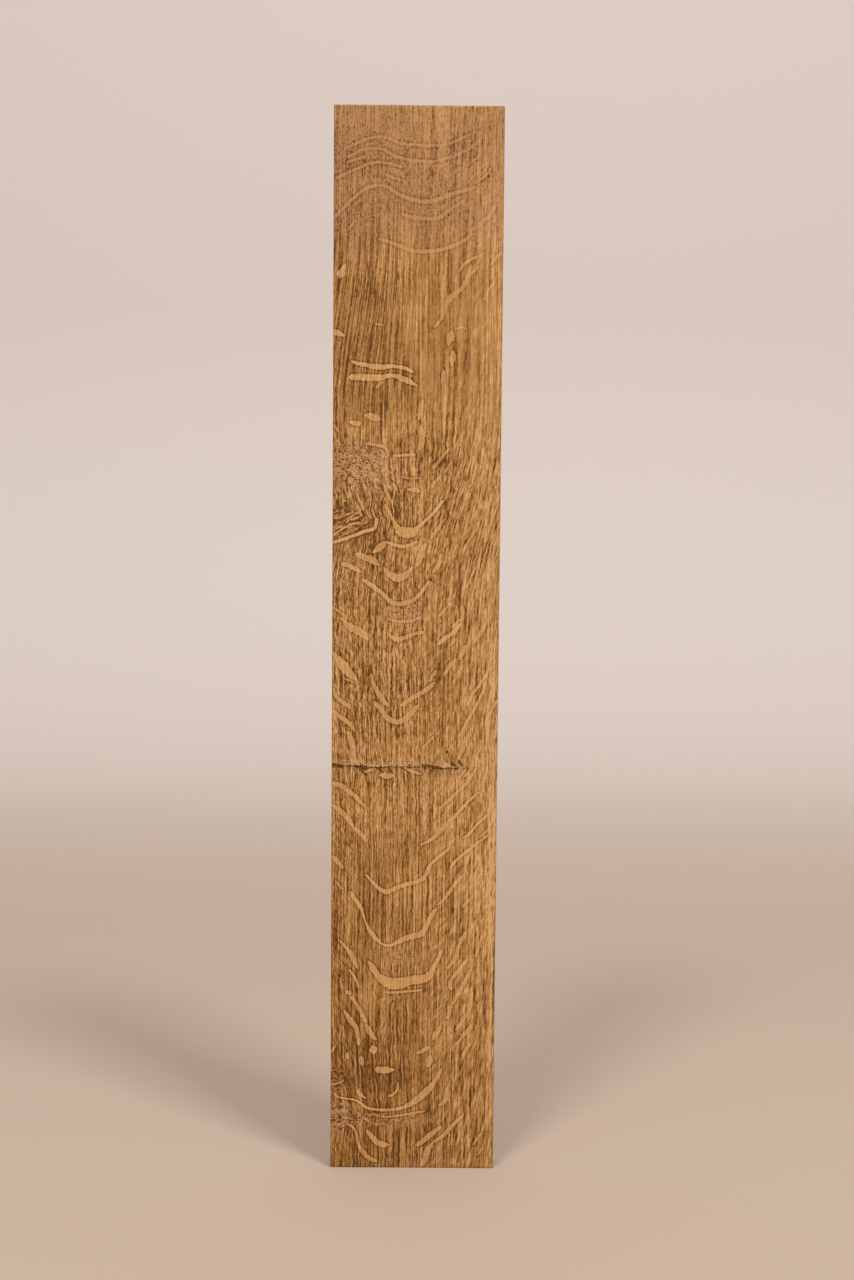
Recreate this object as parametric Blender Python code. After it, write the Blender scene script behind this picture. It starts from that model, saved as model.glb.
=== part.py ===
"""Quarter-sawn oak board standing on its sawn end: one piece of wood, in metres, +Z up.

The origin is the middle of the foot, where the board meets the floor. X runs across the width,
Y through the thickness with the show face at -Y, and Z along the grain.
"""

import math

import bmesh
import bpy

# Driving dimensions
BOARD_WIDTH = 0.127
BOARD_THICKNESS = 0.019
BOARD_LENGTH = 0.813
ARRIS = 0.0005  # the eased corner between two faces
ARRIS_SEGMENTS = 2
ARRIS_PROFILE = 0.5  # a round corner, neither hollow nor bulging

# The cross-grain check: a shallow torn line across the show face, open at the left edge
CHECK_HEIGHT = 0.3165  # above the foot
CHECK_REACH = 0.108  # from the left edge
CHECK_DEPTH = 0.0008
CHECK_HALF_GAPE = 0.0006  # half of its height at the mouth
CHECK_DROP = 0.0015  # how much lower its closed end lies
CHECK_CLOSED = 0.1  # the share of its depth and gape that is left at the closed end
CHECK_WAVES = ((2.3, 0.0, 0.00045), (5.1, 1.0, 0.00022))  # turns along it, phase and height of each
CHECK_STATIONS = 25
CUTTER_CLEARANCE = 0.002  # how far the cutter stands out of the wood

OAK_COLOUR = (0.40, 0.22, 0.09, 1.0)
OAK_ROUGHNESS = 0.62


def clear_scene():
    """Remove every object, so that only the board is left."""
    for old in list(bpy.data.objects):
        bpy.data.objects.remove(old, do_unlink=True)


def link_mesh(name, mesh):
    """A new object that shows this mesh."""
    made = bpy.data.objects.new(name, mesh)
    bpy.context.scene.collection.objects.link(made)
    return made


def oak_material():
    """Sawn oak, neither glossy nor chalky."""
    made = bpy.data.materials.new("oak")
    made.use_nodes = True
    shader = made.node_tree.nodes["Principled BSDF"]
    shader.inputs["Base Color"].default_value = OAK_COLOUR
    shader.inputs["Roughness"].default_value = OAK_ROUGHNESS
    shader.inputs["Metallic"].default_value = 0.0
    return made


def make_blank():
    """The board's block with its foot at height 0, before the check is opened."""
    bm = bmesh.new()
    bmesh.ops.create_cube(bm, size=1.0)
    bmesh.ops.scale(bm, vec=(BOARD_WIDTH, BOARD_THICKNESS, BOARD_LENGTH), verts=bm.verts)
    bmesh.ops.translate(bm, vec=(0.0, 0.0, BOARD_LENGTH / 2), verts=bm.verts)
    bmesh.ops.bevel(
        bm,
        geom=list(bm.edges),
        offset=ARRIS,
        segments=ARRIS_SEGMENTS,
        profile=ARRIS_PROFILE,
        affect="EDGES",
        clamp_overlap=True,
    )
    mesh = bpy.data.meshes.new("oak_board")
    bm.to_mesh(mesh)
    bm.free()
    return link_mesh("oak_board", mesh)


def check_line(share):
    """Height of the check's line where share runs from 0 at the left edge to 1 at its closed end."""
    height = CHECK_HEIGHT - CHECK_DROP * share**2
    for turns, phase, stray in CHECK_WAVES:
        height += stray * math.sin(2 * math.pi * turns * share + phase)
    return height


def check_opening(share):
    """How open the check is there, from 1 at the edge to CHECK_CLOSED at its closed end."""
    return CHECK_CLOSED + (1.0 - CHECK_CLOSED) * math.sqrt(max(0.0, 1.0 - share**3))


def make_check_cutter():
    """A wavy wedge, its blunt side in the air before the show face and its sharp side in the wood."""
    face_y = -BOARD_THICKNESS / 2
    bm = bmesh.new()
    rows = []
    for i in range(CHECK_STATIONS):
        share = i / (CHECK_STATIONS - 1)
        along = -CUTTER_CLEARANCE + (CHECK_REACH + CUTTER_CLEARANCE) * share
        x = -BOARD_WIDTH / 2 + along
        z = check_line(share)
        open_by = check_opening(share)
        depth = CHECK_DEPTH * open_by
        mouth = CHECK_HALF_GAPE * open_by
        flare = mouth * (depth + CUTTER_CLEARANCE) / depth  # the wedge's half height out in the air
        rows.append(
            [
                bm.verts.new((x, face_y - CUTTER_CLEARANCE, z + flare)),
                bm.verts.new((x, face_y - CUTTER_CLEARANCE, z - flare)),
                bm.verts.new((x, face_y + depth, z)),
            ]
        )
    for before, after in zip(rows, rows[1:]):
        for a in range(3):
            b = (a + 1) % 3
            bm.faces.new((before[a], before[b], after[b], after[a]))
    bm.faces.new(rows[0][::-1])
    bm.faces.new(rows[-1])
    bmesh.ops.recalc_face_normals(bm, faces=bm.faces)
    mesh = bpy.data.meshes.new("check_cutter")
    bm.to_mesh(mesh)
    bm.free()
    cutter = link_mesh("check_cutter", mesh)
    cutter.hide_render = True
    cutter.display_type = "WIRE"
    return cutter


def open_check(board, cutter):
    """Cut the check into the show face."""
    cut = board.modifiers.new("cross_grain_check", "BOOLEAN")
    cut.operation = "DIFFERENCE"
    cut.solver = "EXACT"
    cut.object = cutter


def build():
    """The board, finished."""
    clear_scene()
    board = make_blank()
    board.data.materials.append(oak_material())
    open_check(board, make_check_cutter())
    return board


build()
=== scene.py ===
"""Looks of the quarter-sawn oak board: its figured surface, on a plain floor in soft light.

Places on the show face are given as (u, z) in millimetres: u from the left edge and z above the foot.
The row frame is in metres, with X across the width, -Y towards the viewer and +Z up.
"""

import functools
import itertools
import math

import bmesh
import bpy
import numpy as np
from mathutils import Matrix, Vector


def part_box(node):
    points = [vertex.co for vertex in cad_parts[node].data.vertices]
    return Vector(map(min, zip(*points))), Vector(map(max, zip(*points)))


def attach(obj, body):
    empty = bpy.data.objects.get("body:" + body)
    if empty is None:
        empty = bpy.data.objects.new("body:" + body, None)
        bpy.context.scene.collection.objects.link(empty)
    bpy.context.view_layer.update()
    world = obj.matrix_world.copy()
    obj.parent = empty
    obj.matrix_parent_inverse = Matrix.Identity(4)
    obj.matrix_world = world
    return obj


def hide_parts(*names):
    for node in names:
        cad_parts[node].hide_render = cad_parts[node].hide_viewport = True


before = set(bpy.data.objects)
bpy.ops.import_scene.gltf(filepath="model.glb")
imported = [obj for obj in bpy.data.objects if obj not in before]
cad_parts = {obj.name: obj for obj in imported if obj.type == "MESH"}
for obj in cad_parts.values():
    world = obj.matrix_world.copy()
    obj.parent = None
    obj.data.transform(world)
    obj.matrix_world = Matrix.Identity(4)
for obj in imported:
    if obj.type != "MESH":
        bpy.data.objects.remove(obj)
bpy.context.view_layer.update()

MM = 0.001

# Driving dimensions, from the frame, in millimetres
node_low, node_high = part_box("oak_board")
WIDTH = (node_high.x - node_low.x) / MM
THICK = (node_high.y - node_low.y) / MM
LENGTH = (node_high.z - node_low.z) / MM
ARRIS = 0.5  # the eased corner between two faces
ARRIS_SHARE = 1.0 - math.sqrt(0.5)  # how far the middle of a round corner stays from both faces
ARRIS_WEAR = 0.1  # how much more the middle of a corner may be worn
ROW_SHIFT = 31.0  # sets the wear of the front and back corners at the ends apart
SIDE_SHIFT = 17.0  # the same for the side corners at the ends

# How fine the mesh is, in millimetres
SHOW_STEP = 1.3
BACK_STEP = 2.6
CHECK_STEP = 0.3
CHECK_MARGIN = 3.0  # how far above and below the check the fine rows reach

# The cross-grain check, at the same place and size as in the solid
CHECK_HEIGHT = 316.5
CHECK_REACH = 108.0
CHECK_DEPTH = 0.8
CHECK_HALF_GAPE = 0.6
CHECK_DROP = 1.5
CHECK_CLOSED = 0.1
CHECK_WAVES = ((2.3, 0.0, 0.45), (5.1, 1.0, 0.22))
CHECK_JAGS = 0.4
CHECK_SMALL_JAGS = 0.22
CHECK_LIP = 0.07  # depth of the torn strip over the check
CHECK_LIP_OVER = 1.9  # how far over the line that strip lies
CHECK_FAINT = 53.0  # the middle of the stretch where the check looks nearly closed

# A small nick in the right corner of the show face
NICK_HEIGHT = 709.0
NICK_HALF_LENGTH = 2.2
NICK_DEPTH = 0.45

# The tree: its pith lies to the right of the board and behind it
PITH_X = 250.0
PITH_Y = 26.0
TRUNK_SWAYS = ((1.6, 118.0, 0.6), (0.7, 47.0, 2.0))  # reach, height and phase of each slow wave

# The ray lines, which rise from the bowls' middle: to the right by the square and the cube of the distance,
# and to the left in an arc. Near the top of the board they are waves.
BOWL_MIDDLE = 50.0
BOWL_RIGHT = (0.015, 0.0001)
BOWL_LEFT_CLIMB = 1.7
BOWL_LEFT_REACH = 22.3
BACK_BOWL = 0.75  # how steep the bowls are at the back
WAVE_HEIGHT = 6.5
WAVE_TOP = 32.0
WAVE_REACH = 11.3
WAVE_MIDDLE = 40.0
WAVE_FADE = 60.0
WAVE_CLIMB = 0.012
WAVE_CLIMB_FROM = 68.0
WAVES_FROM = (640.0, 740.0)
# Where the bowls are steeper or flatter: height, half height and change
BOWL_CHANGES = ((500.0, 90.0, 0.4), (250.0, 90.0, -0.3))

PATCH_EDGE = (0.55, 1.25)  # a patch fades between these shares of its half width and half height
# Patches of wild grain by the two small knots on the left: u, z, half width, half height, strength
PINK_PATCHES = (
    (16, 548, 27, 17, 1.0),
    (35, 533, 12, 9, 0.5),
    (6, 42, 13, 12, 1.0),
    (12, 455, 10, 9, 0.3),
    (12, 474, 12, 5, 0.6),
    (8, 366, 10, 6, 0.35),
    (18, 528, 16, 6, 0.3),
    (5, 412, 6, 7, 0.4),
)
DARK_PATCHES = (
    (9, 503, 19, 14, 1.0),
    (27, 489, 9, 8, 0.25),
    (4, 70, 9, 12, 0.8),
    (12, 60, 16, 7, 0.4),
    (81, 388, 4, 7, 0.8),
    (50, 135, 14, 4, 0.5),
)
# Patches of fine speckles
SPECKLED_PATCHES = (
    (35, 784, 40, 14, 0.8),
    (60, 755, 45, 9, 0.5),
    (52, 437, 16, 9, 0.7),
    (54, 168, 16, 9, 0.6),
    (45, 38, 40, 6, 0.7),
    (55, 424, 12, 5, 0.6),
)
# Patches where the grain wavers, and where it shows less
WAVY_PATCHES = ((26, 519, 30, 22, 1.0), (30, 46, 36, 16, 0.6))
CALM_PATCHES = (
    (14, 200, 40, 130, 0.6),
    (72, 650, 36, 56, 0.7),
    (110, 620, 16, 60, 0.5),
    (116, 60, 18, 64, 1.0),
    (84, 350, 26, 44, 0.4),
)
# How the knots bend the grain: height, half height, reach and push of each
KNOT_BENDS = ((508, 34, 34, 11), (52, 22, 24, 7))

# The slanted grain at the right: its height, how far it shifts the grain, and its rise for each mm across
SLANT_HEIGHT = 500.0
SLANT_SHIFT = 13.0
SLANT_SLOPE = 3.4
SLANT_REACH = (52.0, 108.0)  # from the first of these to the second it comes in

# Broad darker and lighter places: u, z, half width, half height and change of tone
SHADES = (
    (30, 668, 18, 20, -0.24),
    (16, 634, 16, 14, -0.22),
    (12, 612, 20, 14, -0.22),
    (26, 494, 24, 16, -0.24),
    (26, 519, 22, 11, -0.16),
    (91, 515, 10, 34, -0.18),
    (26, 104, 28, 16, -0.26),
    (20, 74, 26, 14, -0.28),
    (52, 70, 12, 14, -0.3),
    (44, 42, 20, 12, -0.14),
    (8, 145, 12, 28, -0.18),
    (35, 760, 70, 80, -0.12),
    (60, 455, 22, 40, -0.07),
    (92, 785, 16, 30, -0.12),
    (64, 674, 9, 20, 0.2),
    (119, 670, 10, 60, 0.18),
    (122, 380, 9, 120, 0.12),
    (122, 230, 9, 90, 0.08),
    (103, 280, 22, 100, 0.12),
    (64, 704, 10, 12, 0.13),
    (91, 587, 8, 14, -0.12),
    (121, 450, 8, 28, 0.12),
    (22, 384, 7, 16, -0.12),
    (49, 195, 11, 14, -0.14),
    (78, 180, 9, 26, -0.1),
)

# The leaning grain at the upper left: its heights, how far it leans, and where it fades to the right
LEAN_HEIGHTS = (585.0, 715.0)
LEAN_SHIFT = 13.0
LEAN_FADE = (20.0, 75.0)

# Pinholes and small dark specks: u, z and radius
SPECKS = (
    (7.5, 40, 1.3),
    (3, 38, 1.0),
    (0.8, 37.5, 0.9),
    (88.5, 328.5, 1.3),
    (74.5, 460.5, 1.2),
    (86, 733, 0.8),
    (76, 738, 0.5),
    (108, 712, 0.5),
    (73, 720, 0.4),
    (95.2, 315.8, 0.9),
)

# Ray flecks of the show face: tone, then u, z and thickness at each point of the middle line.
# A tone below zero is a dark line of open pores.
FLECKS = (
    # Long arcs near the top
    (0.55, ((7, 780, 0.8), (15, 784, 1.1), (28, 789, 1.1), (38, 789.5, 0.9), (50, 785, 1), (60, 784, 1.3),
        (70, 783.5, 1.1), (80, 784, 1.1), (88, 786, 1.2), (95, 789, 1), (101, 792, 0.8))),
    (0.55, ((10, 775, 0.9), (17, 778, 1.2), (22, 780.5, 1), (35, 781, 0.8), (43, 777, 1), (50, 774.5, 1),
        (60, 772.5, 1.3), (70, 772, 1.3), (78, 772.5, 1.2), (88, 776, 1.2), (100, 781, 1),
        (110, 788, 0.8))),
    (0.6, ((9, 770.5, 0.7), (17, 773, 1), (24, 775.5, 0.7))),
    (0.65, ((2, 759, 1), (8, 762, 1.2), (13, 764.5, 1.2), (20, 767.5, 1), (27, 770.5, 1), (35, 771, 0.8),
        (43, 770, 0.9), (51, 767.5, 0.7))),
    (0.6, ((44, 775.5, 0.8), (50, 773.5, 0.6))),
    (0.6, ((0, 730, 1.6), (6, 736, 1.8), (12, 742, 1.8), (20, 749, 1.6), (27, 753, 1.6), (38, 754, 1.2),
        (45, 750, 1.2), (50, 747, 1.8), (60, 744, 2.2), (70, 742.5, 2), (80, 745, 2), (88, 748.5, 2),
        (97, 751, 1.6), (106, 753.5, 1.2))),
    (0.5, ((38, 762, 0.9), (50, 758, 0.9))),
    (0.55, ((51, 734, 1.4), (55, 732, 1.6), (65, 730.5, 1.8), (75, 730, 1.6), (82, 733, 1.5),
        (90, 739, 1.4), (98, 744, 1.2))),
    (0.5, ((102, 783, 1), (111, 790, 0.9))),
    (0.5, ((100, 770, 0.9), (110, 778, 0.9))),
    (0.6, ((108, 758, 1), (115, 764, 1), (117, 768, 0.7))),
    (0.4, ((100, 757, 0.8), (112, 770, 0.8))),
    (0.4, ((88, 764, 1.5), (97, 768, 1.2))),
    # Below the arcs
    (0.5, ((33, 715, 1), (38, 714, 1.8), (45, 711.5, 2), (52, 709, 2.2), (57, 707, 2.4), (65, 706, 2.4),
        (75, 706.5, 2.2), (82, 708, 2.2), (90, 710.5, 2), (97, 714, 1.8), (104, 720, 1))),
    (0.45, ((107, 722, 0.8), (111.4, 728.6, 1.8), (116.6, 732.8, 2), (121.4, 741.6, 0.9))),
    (0.9, ((4.6, 686, 5.6), (5.4, 689, 5.6), (7, 692.5, 3.2), (9, 696.8, 0.9))),
    (0.4, ((10, 721, 0.9), (17, 729, 0.9))),
    (0.9, ((0, 647, 5.5), (4, 645, 3.4), (9, 643, 1))),
    (0.6, ((31, 652.3, 1.4), (38, 651.5, 1.6))),
    (0.5, ((83, 690, 1.6), (82, 672, 2.2), (82, 655, 1.6))),
    (0.55, ((75.6, 649.6, 0.8), (80, 655, 1.6), (82.6, 661, 2.8), (84.4, 667, 3.2), (87.5, 672, 3.8),
        (92.6, 676, 3), (96.6, 679.6, 2.4), (99.4, 685, 3), (101.6, 691, 2.4), (103, 697, 1.2))),
    (0.5, ((100.6, 686.6, 1), (103.4, 690.6, 1.9), (106, 693.2, 2), (108.8, 695.8, 0.9))),
    (0.4, ((103, 690, 1), (108, 699, 1), (112, 704, 0.8))),
    (0.75, ((89.2, 648.2, 3.4), (88.2, 644, 5.6), (87, 640, 4.8), (86, 636.4, 1.6))),
    (0.6, ((90.6, 633, 2.2), (89.9, 628, 4.4), (89.3, 623.4, 3.2), (89.5, 621, 1.4))),
    (0.5, ((112.6, 670, 1), (117.4, 679.6, 1.4), (121.4, 685.8, 1))),
    (0.4, ((91, 648.4, 0.8), (94, 649.8, 1.1), (97.4, 650.4, 1), (100, 648, 0.7))),
    (0.5, ((93.4, 690.6, 0.8), (97.6, 696.6, 1.3), (103.6, 701, 1.4), (108.6, 702.8, 1.1),
        (113, 706.6, 0.7))),
    (0.55, ((117.2, 696, 1), (121, 700.6, 1.7), (126, 705.8, 1.4))),
    (0.4, ((102, 721, 1.3), (111, 728, 1.3))),
    (0.4, ((115, 731, 1.3), (120, 740, 1.3))),
    # The two bright bars and what lies round them
    (0.95, ((13.6, 624.6, 0.9), (17, 623.2, 2), (24, 621.8, 2.4), (31, 620.6, 3.2), (38, 620.3, 3.2),
        (43, 621, 2.4), (48, 620.6, 1.8), (53.4, 619.6, 2.4), (57.6, 618, 2), (60.8, 616.2, 0.8))),
    (0.95, ((11.8, 612.6, 3.4), (15, 612.6, 4), (22, 612.4, 4.1), (30, 612.3, 4.1), (36, 612.2, 3.7),
        (40.4, 613.4, 2.7), (44.6, 614, 2.3), (48.6, 613.2, 2.8), (53, 611.4, 3.6), (58.6, 609, 3),
        (63.6, 606.2, 0.9))),
    (0.6, ((32, 604, 1.6), (38, 610, 1.6))),
    (0.9, ((23.4, 584.5, 3.8), (25, 584.2, 4.4), (29, 583.2, 4.8), (33.4, 581.8, 4.8), (35.8, 581, 4))),
    (0.9, ((11.5, 579, 0.9), (16, 578.4, 2.4), (19.5, 577.8, 3.6), (22, 578.6, 1.4))),
    (0.8, ((67.5, 597, 1.2), (66.8, 592, 2.6), (65.5, 585, 3.8), (64.5, 580.5, 2))),
    (0.8, ((66, 577.5, 2), (66.5, 571, 3.8), (67, 564, 4), (65.5, 557.5, 3))),
    (0.5, ((65.5, 677, 0.8), (65.8, 640, 1.1), (66, 615, 1), (66.8, 597, 1.2))),
    (0.8, ((63, 555, 2), (55, 554.5, 1.6), (45, 554, 1.3))),
    (0.85, ((56, 528.8, 0.9), (60, 528.6, 2.2), (63.6, 528, 3), (66.8, 527.2, 1.1))),
    (0.5, ((52, 538.5, 0.9), (58, 537, 1), (67, 537.5, 0.9))),
    (1.0, ((12.6, 538, 2.4), (13.6, 535, 4.6), (14.6, 532.6, 3.2))),
    (0.8, ((17.8, 527, 0.8), (19.4, 522, 1.6), (22.4, 516.6, 1.4), (23.4, 512, 0.8))),
    (0.7, ((26.6, 530, 0.8), (27.6, 526, 1.6), (29, 519.6, 0.8))),
    (0.7, ((12.4, 531, 0.8), (12.6, 526, 1.4), (12.2, 521, 0.8))),
    (0.6, ((7.6, 520.6, 1.2), (11, 519, 1.4))),
    (0.7, ((16.6, 510.6, 1.6), (19, 510.6, 2.2), (20.6, 511, 1))),
    (0.7, ((39, 533, 0.8), (40.6, 526.6, 1.4), (43.4, 521.4, 1.4), (46, 516.6, 0.8))),
    (0.6, ((46, 533.6, 0.8), (47.6, 530, 1.6), (49, 526.6, 0.8))),
    (0.6, ((17, 519, 0.8), (19.6, 514, 1.2), (22, 507.6, 0.8))),
    (0.6, ((1, 577, 1.3), (4.5, 571.5, 1.2))),
    (0.6, ((2, 566, 1.2), (6, 562.5, 1.2))),
    (0.8, ((25, 563.2, 1.2), (32, 562, 1.6), (38, 561, 1.6), (41, 558, 1.4), (42, 553, 1))),
    (0.5, ((20, 555, 0.8), (30, 553, 0.9), (37, 551.5, 0.8))),
    (0.5, ((9, 544.5, 0.8), (19, 539.5, 0.8))),
    (0.5, ((40, 546, 1), (44, 540, 1))),
    (0.6, ((83, 619, 2.4), (83, 610, 3), (84, 600, 2.6), (84, 585, 1.8), (84, 569, 1.4))),
    (0.5, ((97, 571, 2), (96, 561, 2))),
    (0.6, ((75, 544, 2), (80, 550, 2.2), (88, 560, 1.6))),
    (0.6, ((84, 541, 1.6), (90, 550, 1.4))),
    (0.6, ((74, 530, 2.2), (81, 539, 1.8))),
    # The large crescent and the nested bowls under it
    (1.0, ((39.5, 518, 1), (42.5, 512.5, 1.4), (45.5, 506.5, 1.6), (48.5, 500.5, 3.4), (51, 497.6, 6.6),
        (56, 496.2, 7.6), (61, 496.9, 6.8), (64.3, 499.3, 3.4), (68, 503, 1.9), (76, 511, 2),
        (84, 521, 1.5))),
    (0.8, ((40, 489.5, 1.8), (46, 487, 1.8), (54, 485.5, 2.2), (60, 487, 2.2), (65, 490, 1.8))),
    (0.9, ((30, 480.5, 3.4), (35, 484, 4.6), (41, 489, 4))),
    (0.9, ((17, 480, 2.4), (25, 477, 4.4), (31, 474.5, 4.8), (36, 471, 3))),
    (0.9, ((6.5, 472, 2.2), (12, 471, 2.6), (18, 468, 2.4), (22, 465.5, 1.6))),
    (1.0, ((0, 488, 1.8), (8, 490.5, 2), (17, 494, 2), (25, 497, 2.2), (32, 499.5, 2), (33.5, 507, 1.4))),
    (0.9, ((0, 493, 1), (10, 500, 1.1), (21, 503.8, 0.9))),
    (0.7, ((0, 497, 0.9), (7, 500.5, 0.9))),
    (0.95, ((39, 470, 1.4), (41.5, 466.3, 3.2), (45, 463.3, 4.8), (50, 461.6, 5.6), (55, 463.2, 4.8),
        (58.5, 466.8, 3), (61, 470.5, 1.2))),
    (0.9, ((22, 461, 1.8), (28, 457, 2.6), (34, 453, 2.8), (40, 448, 2.6), (45, 443, 2.6), (52, 442, 2.8),
        (58, 443.5, 2.8), (64, 447, 2.4), (70, 454, 2), (75, 462, 1.6))),
    (0.7, ((42, 430.5, 1.2), (48, 429, 1.5), (55, 428.5, 1.6), (62, 429.5, 1.5), (67, 432.5, 1.2))),
    (0.85, ((63.6, 470, 1.2), (65.4, 474.4, 3.6), (67, 479, 4.4), (68.4, 483, 3.6), (70.4, 488.4, 1.2))),
    (0.8, ((76, 465.6, 1), (78.4, 469, 2.6), (81, 473.6, 2), (82, 480.6, 1.2))),
    (0.7, ((74, 491.6, 1), (78, 496.4, 2.2), (81, 501, 2), (84.6, 507, 1))),
    (0.75, ((84.6, 484.4, 1.2), (86, 488.4, 3.2), (87, 492.6, 1.4))),
    (0.6, ((98.6, 480, 1), (101.6, 487, 1.8), (105.4, 493.6, 1.4), (109, 500, 0.8))),
    (0.6, ((95.4, 505.6, 0.8), (94, 500, 1.4), (92.6, 495.6, 0.8))),
    (0.5, ((99, 508, 0.8), (101.6, 518, 1.6), (104, 527, 1))),
    (0.5, ((101.6, 454, 0.8), (105, 462, 1.4), (109, 471, 0.8))),
    (0.9, ((6, 431.6, 1.1), (9, 428.6, 1.7), (12, 425.4, 4), (16, 423, 5.3), (20, 421, 6),
        (23.6, 418.2, 4.4), (27.2, 414.2, 1.2))),
    (0.6, ((0, 439.5, 1.4), (9, 433, 1.2))),
    (0.6, ((81, 432.5, 1.5), (91, 444, 1.3))),
    (0.8, ((91, 424, 1.5), (98, 431, 1.5))),
    (0.8, ((42, 420, 1.8), (46, 416, 2.6), (51, 415, 2.8), (57, 417, 2.6), (62, 419, 2.4), (71, 421, 1.8))),
    (1.0, ((-0.5, 406, 2), (2, 402.5, 3.2), (4.6, 399, 5), (7.6, 395.3, 7), (11, 391.2, 6.8),
        (14.5, 387.7, 4.8), (17.3, 384.8, 2.8), (19.6, 382.3, 1))),
    (0.6, ((9, 384.5, 1), (20, 380.8, 1))),
    (0.85, ((1.4, 377.4, 1.2), (2.8, 371, 2.2), (7.1, 367.2, 2.6), (11.4, 364.3, 2.4), (14.6, 361.2, 1.1))),
    (0.9, ((0, 361, 1.9), (4.3, 356.6, 2.4), (8.6, 353.6, 2.7), (12.9, 350.6, 2.6), (15.7, 347, 2.1),
        (17.9, 343.6, 1.2))),
    (0.85, ((11.4, 344.2, 1.4), (14, 340.4, 3), (15.6, 335, 3.4), (16.4, 329, 3.4), (17, 323, 3.8),
        (17.4, 318, 5))),
    (0.9, ((30.2, 388.6, 0.9), (31.2, 382, 2), (34, 376, 3), (37, 371, 3.9), (40.3, 366.6, 2.8),
        (44, 363.2, 1.1))),
    (0.9, ((32, 367, 2), (38, 360, 3.2), (43, 354, 3.6), (50, 351.5, 3.8), (56, 354, 3.6), (61, 359, 3.4),
        (67, 365, 2.4))),
    (0.9, ((52, 363.5, 2), (60, 369, 3), (66, 373, 3.2), (73, 377, 3.2), (79, 382.5, 2))),
    (0.7, ((74, 382.5, 1.8), (80, 392.5, 1.4))),
    (0.9, ((79.5, 410.5, 1.6), (86, 416, 2.6), (92, 420, 2.8), (98, 428, 2))),
    (0.7, ((84.5, 386.5, 1.6), (88, 392, 2.4), (91, 396.5, 2.6), (95, 401, 1.8))),
    (0.7, ((97, 399.5, 1.6), (98.5, 404, 3.2), (101, 408, 3.2), (103, 411, 1.8))),
    (0.4, ((97.6, 412, 1.2), (98.5, 425, 1.6), (99.4, 436, 2), (98.6, 441, 1.2))),
    (0.6, ((107, 411, 1.5), (112, 419, 2.4), (117, 427, 2.4), (121, 434, 1.6))),
    (0.5, ((89, 410, 1.6), (96, 417, 1.3))),
    (0.8, ((103, 363.5, 1.1), (107.5, 373.6, 1.6), (112.6, 380.3, 1.5), (117.7, 388, 1.4),
        (122.4, 395, 1))),
    (0.8, ((97.3, 340.2, 1.4), (102.5, 350.4, 1.6), (108, 360.4, 1.7), (112, 368, 1.4), (116, 378, 1))),
    (0.6, ((117, 351, 1.2), (121.4, 359.7, 1.6), (126, 369, 1.4))),
    (0.6, ((97, 323, 3), (101, 334, 3.6), (108, 348, 2.4))),
    (0.7, ((69, 331, 1.4), (78, 340.5, 1.4))),
    # Round the check
    (-0.9, ((0, 318.6, 1.8), (4, 318.2, 1.3), (9, 317.6, 0.6))),
    (-0.9, ((16.6, 317.8, 0.6), (21.6, 316.4, 1.9), (26.4, 314.6, 1.4), (30, 312.4, 0.6))),
    (-0.8, ((20.6, 315.4, 0.8), (24, 312.8, 1.4), (27, 309.2, 0.6))),
    (-0.8, ((32.6, 316.4, 0.8), (36.8, 314.8, 1.6), (39.6, 311.6, 0.6))),
    (-0.7, ((44, 315.6, 1.2), (45.4, 312.4, 1), (45.8, 308, 0.6))),
    (-0.8, ((53, 315.8, 1.4), (57, 314.6, 1.2), (60, 311, 0.6))),
    (-0.9, ((67.6, 318.3, 0.6), (73.6, 317.6, 1.6), (80, 316.6, 2), (86, 315.6, 0.8))),
    (-0.9, ((91, 321.6, 0.6), (93, 319, 2), (95.8, 317.2, 1))),
    (-0.9, ((97.2, 322.8, 0.6), (98.6, 320, 1.8), (100.6, 317.4, 0.9))),
    (0.9, ((85, 316, 1.2), (88, 318.6, 3), (91, 316.8, 1.6))),
    (0.8, ((94, 312, 0.8), (97, 314.4, 1.4), (100, 315.4, 0.8))),
    (0.8, ((96.6, 308, 0.8), (100, 311.4, 1.3), (103, 315.4, 0.8))),
    (0.8, ((100.6, 308.6, 0.8), (104, 312, 1.3), (107, 316, 0.8))),
    (0.7, ((105, 308.6, 0.8), (108, 312, 1.3), (111, 316.4, 0.8))),
    (0.9, ((24, 311.8, 1), (29, 314, 2.2), (34, 315.6, 1.4))),
    (0.9, ((55, 316.3, 1), (61, 313.6, 1.8), (68.6, 311.2, 1))),
    (0.9, ((36, 310.4, 1.4), (38.6, 310.2, 3.6), (42, 309.8, 4.6), (45.4, 309.8, 4), (48.4, 310.4, 1.4))),
    (0.9, ((0, 304, 2.4), (7, 302, 3), (14, 297, 3), (20, 292, 2.8), (26, 285, 1.8))),
    (0.9, ((0, 287, 2.6), (6, 283, 3.4), (12, 277, 3.6), (17, 270, 2.2))),
    (0.8, ((16, 270, 2), (22, 265, 2.8), (28, 258, 1.8))),
    (0.8, ((0, 247, 2.8), (4, 244, 3), (9, 237, 1.8))),
    (0.6, ((3, 227.5, 1.6), (9, 221, 1.4))),
    (0.95, ((26.4, 233, 0.8), (30, 229, 1.3), (34, 224.6, 1.8), (38, 221, 2.4), (42, 219.2, 3.1),
        (45, 219.6, 3), (49, 222, 2.8), (55, 224.4, 2.7), (62, 226.4, 2.7), (69, 228.6, 2.8),
        (73, 232.6, 3), (75.6, 239.4, 2.2), (79.5, 244, 1.6), (83.2, 247.6, 1.5), (87.6, 250.8, 1.5),
        (91.4, 254.8, 1.1))),
    (0.85, ((68, 256, 1.2), (75.5, 259.7, 2), (83, 266.2, 2.6), (87, 271, 2.6), (90.5, 274.5, 2.8),
        (94, 278, 2.2), (99.5, 284, 2), (104, 289, 1.8), (113, 298, 1.2))),
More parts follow.
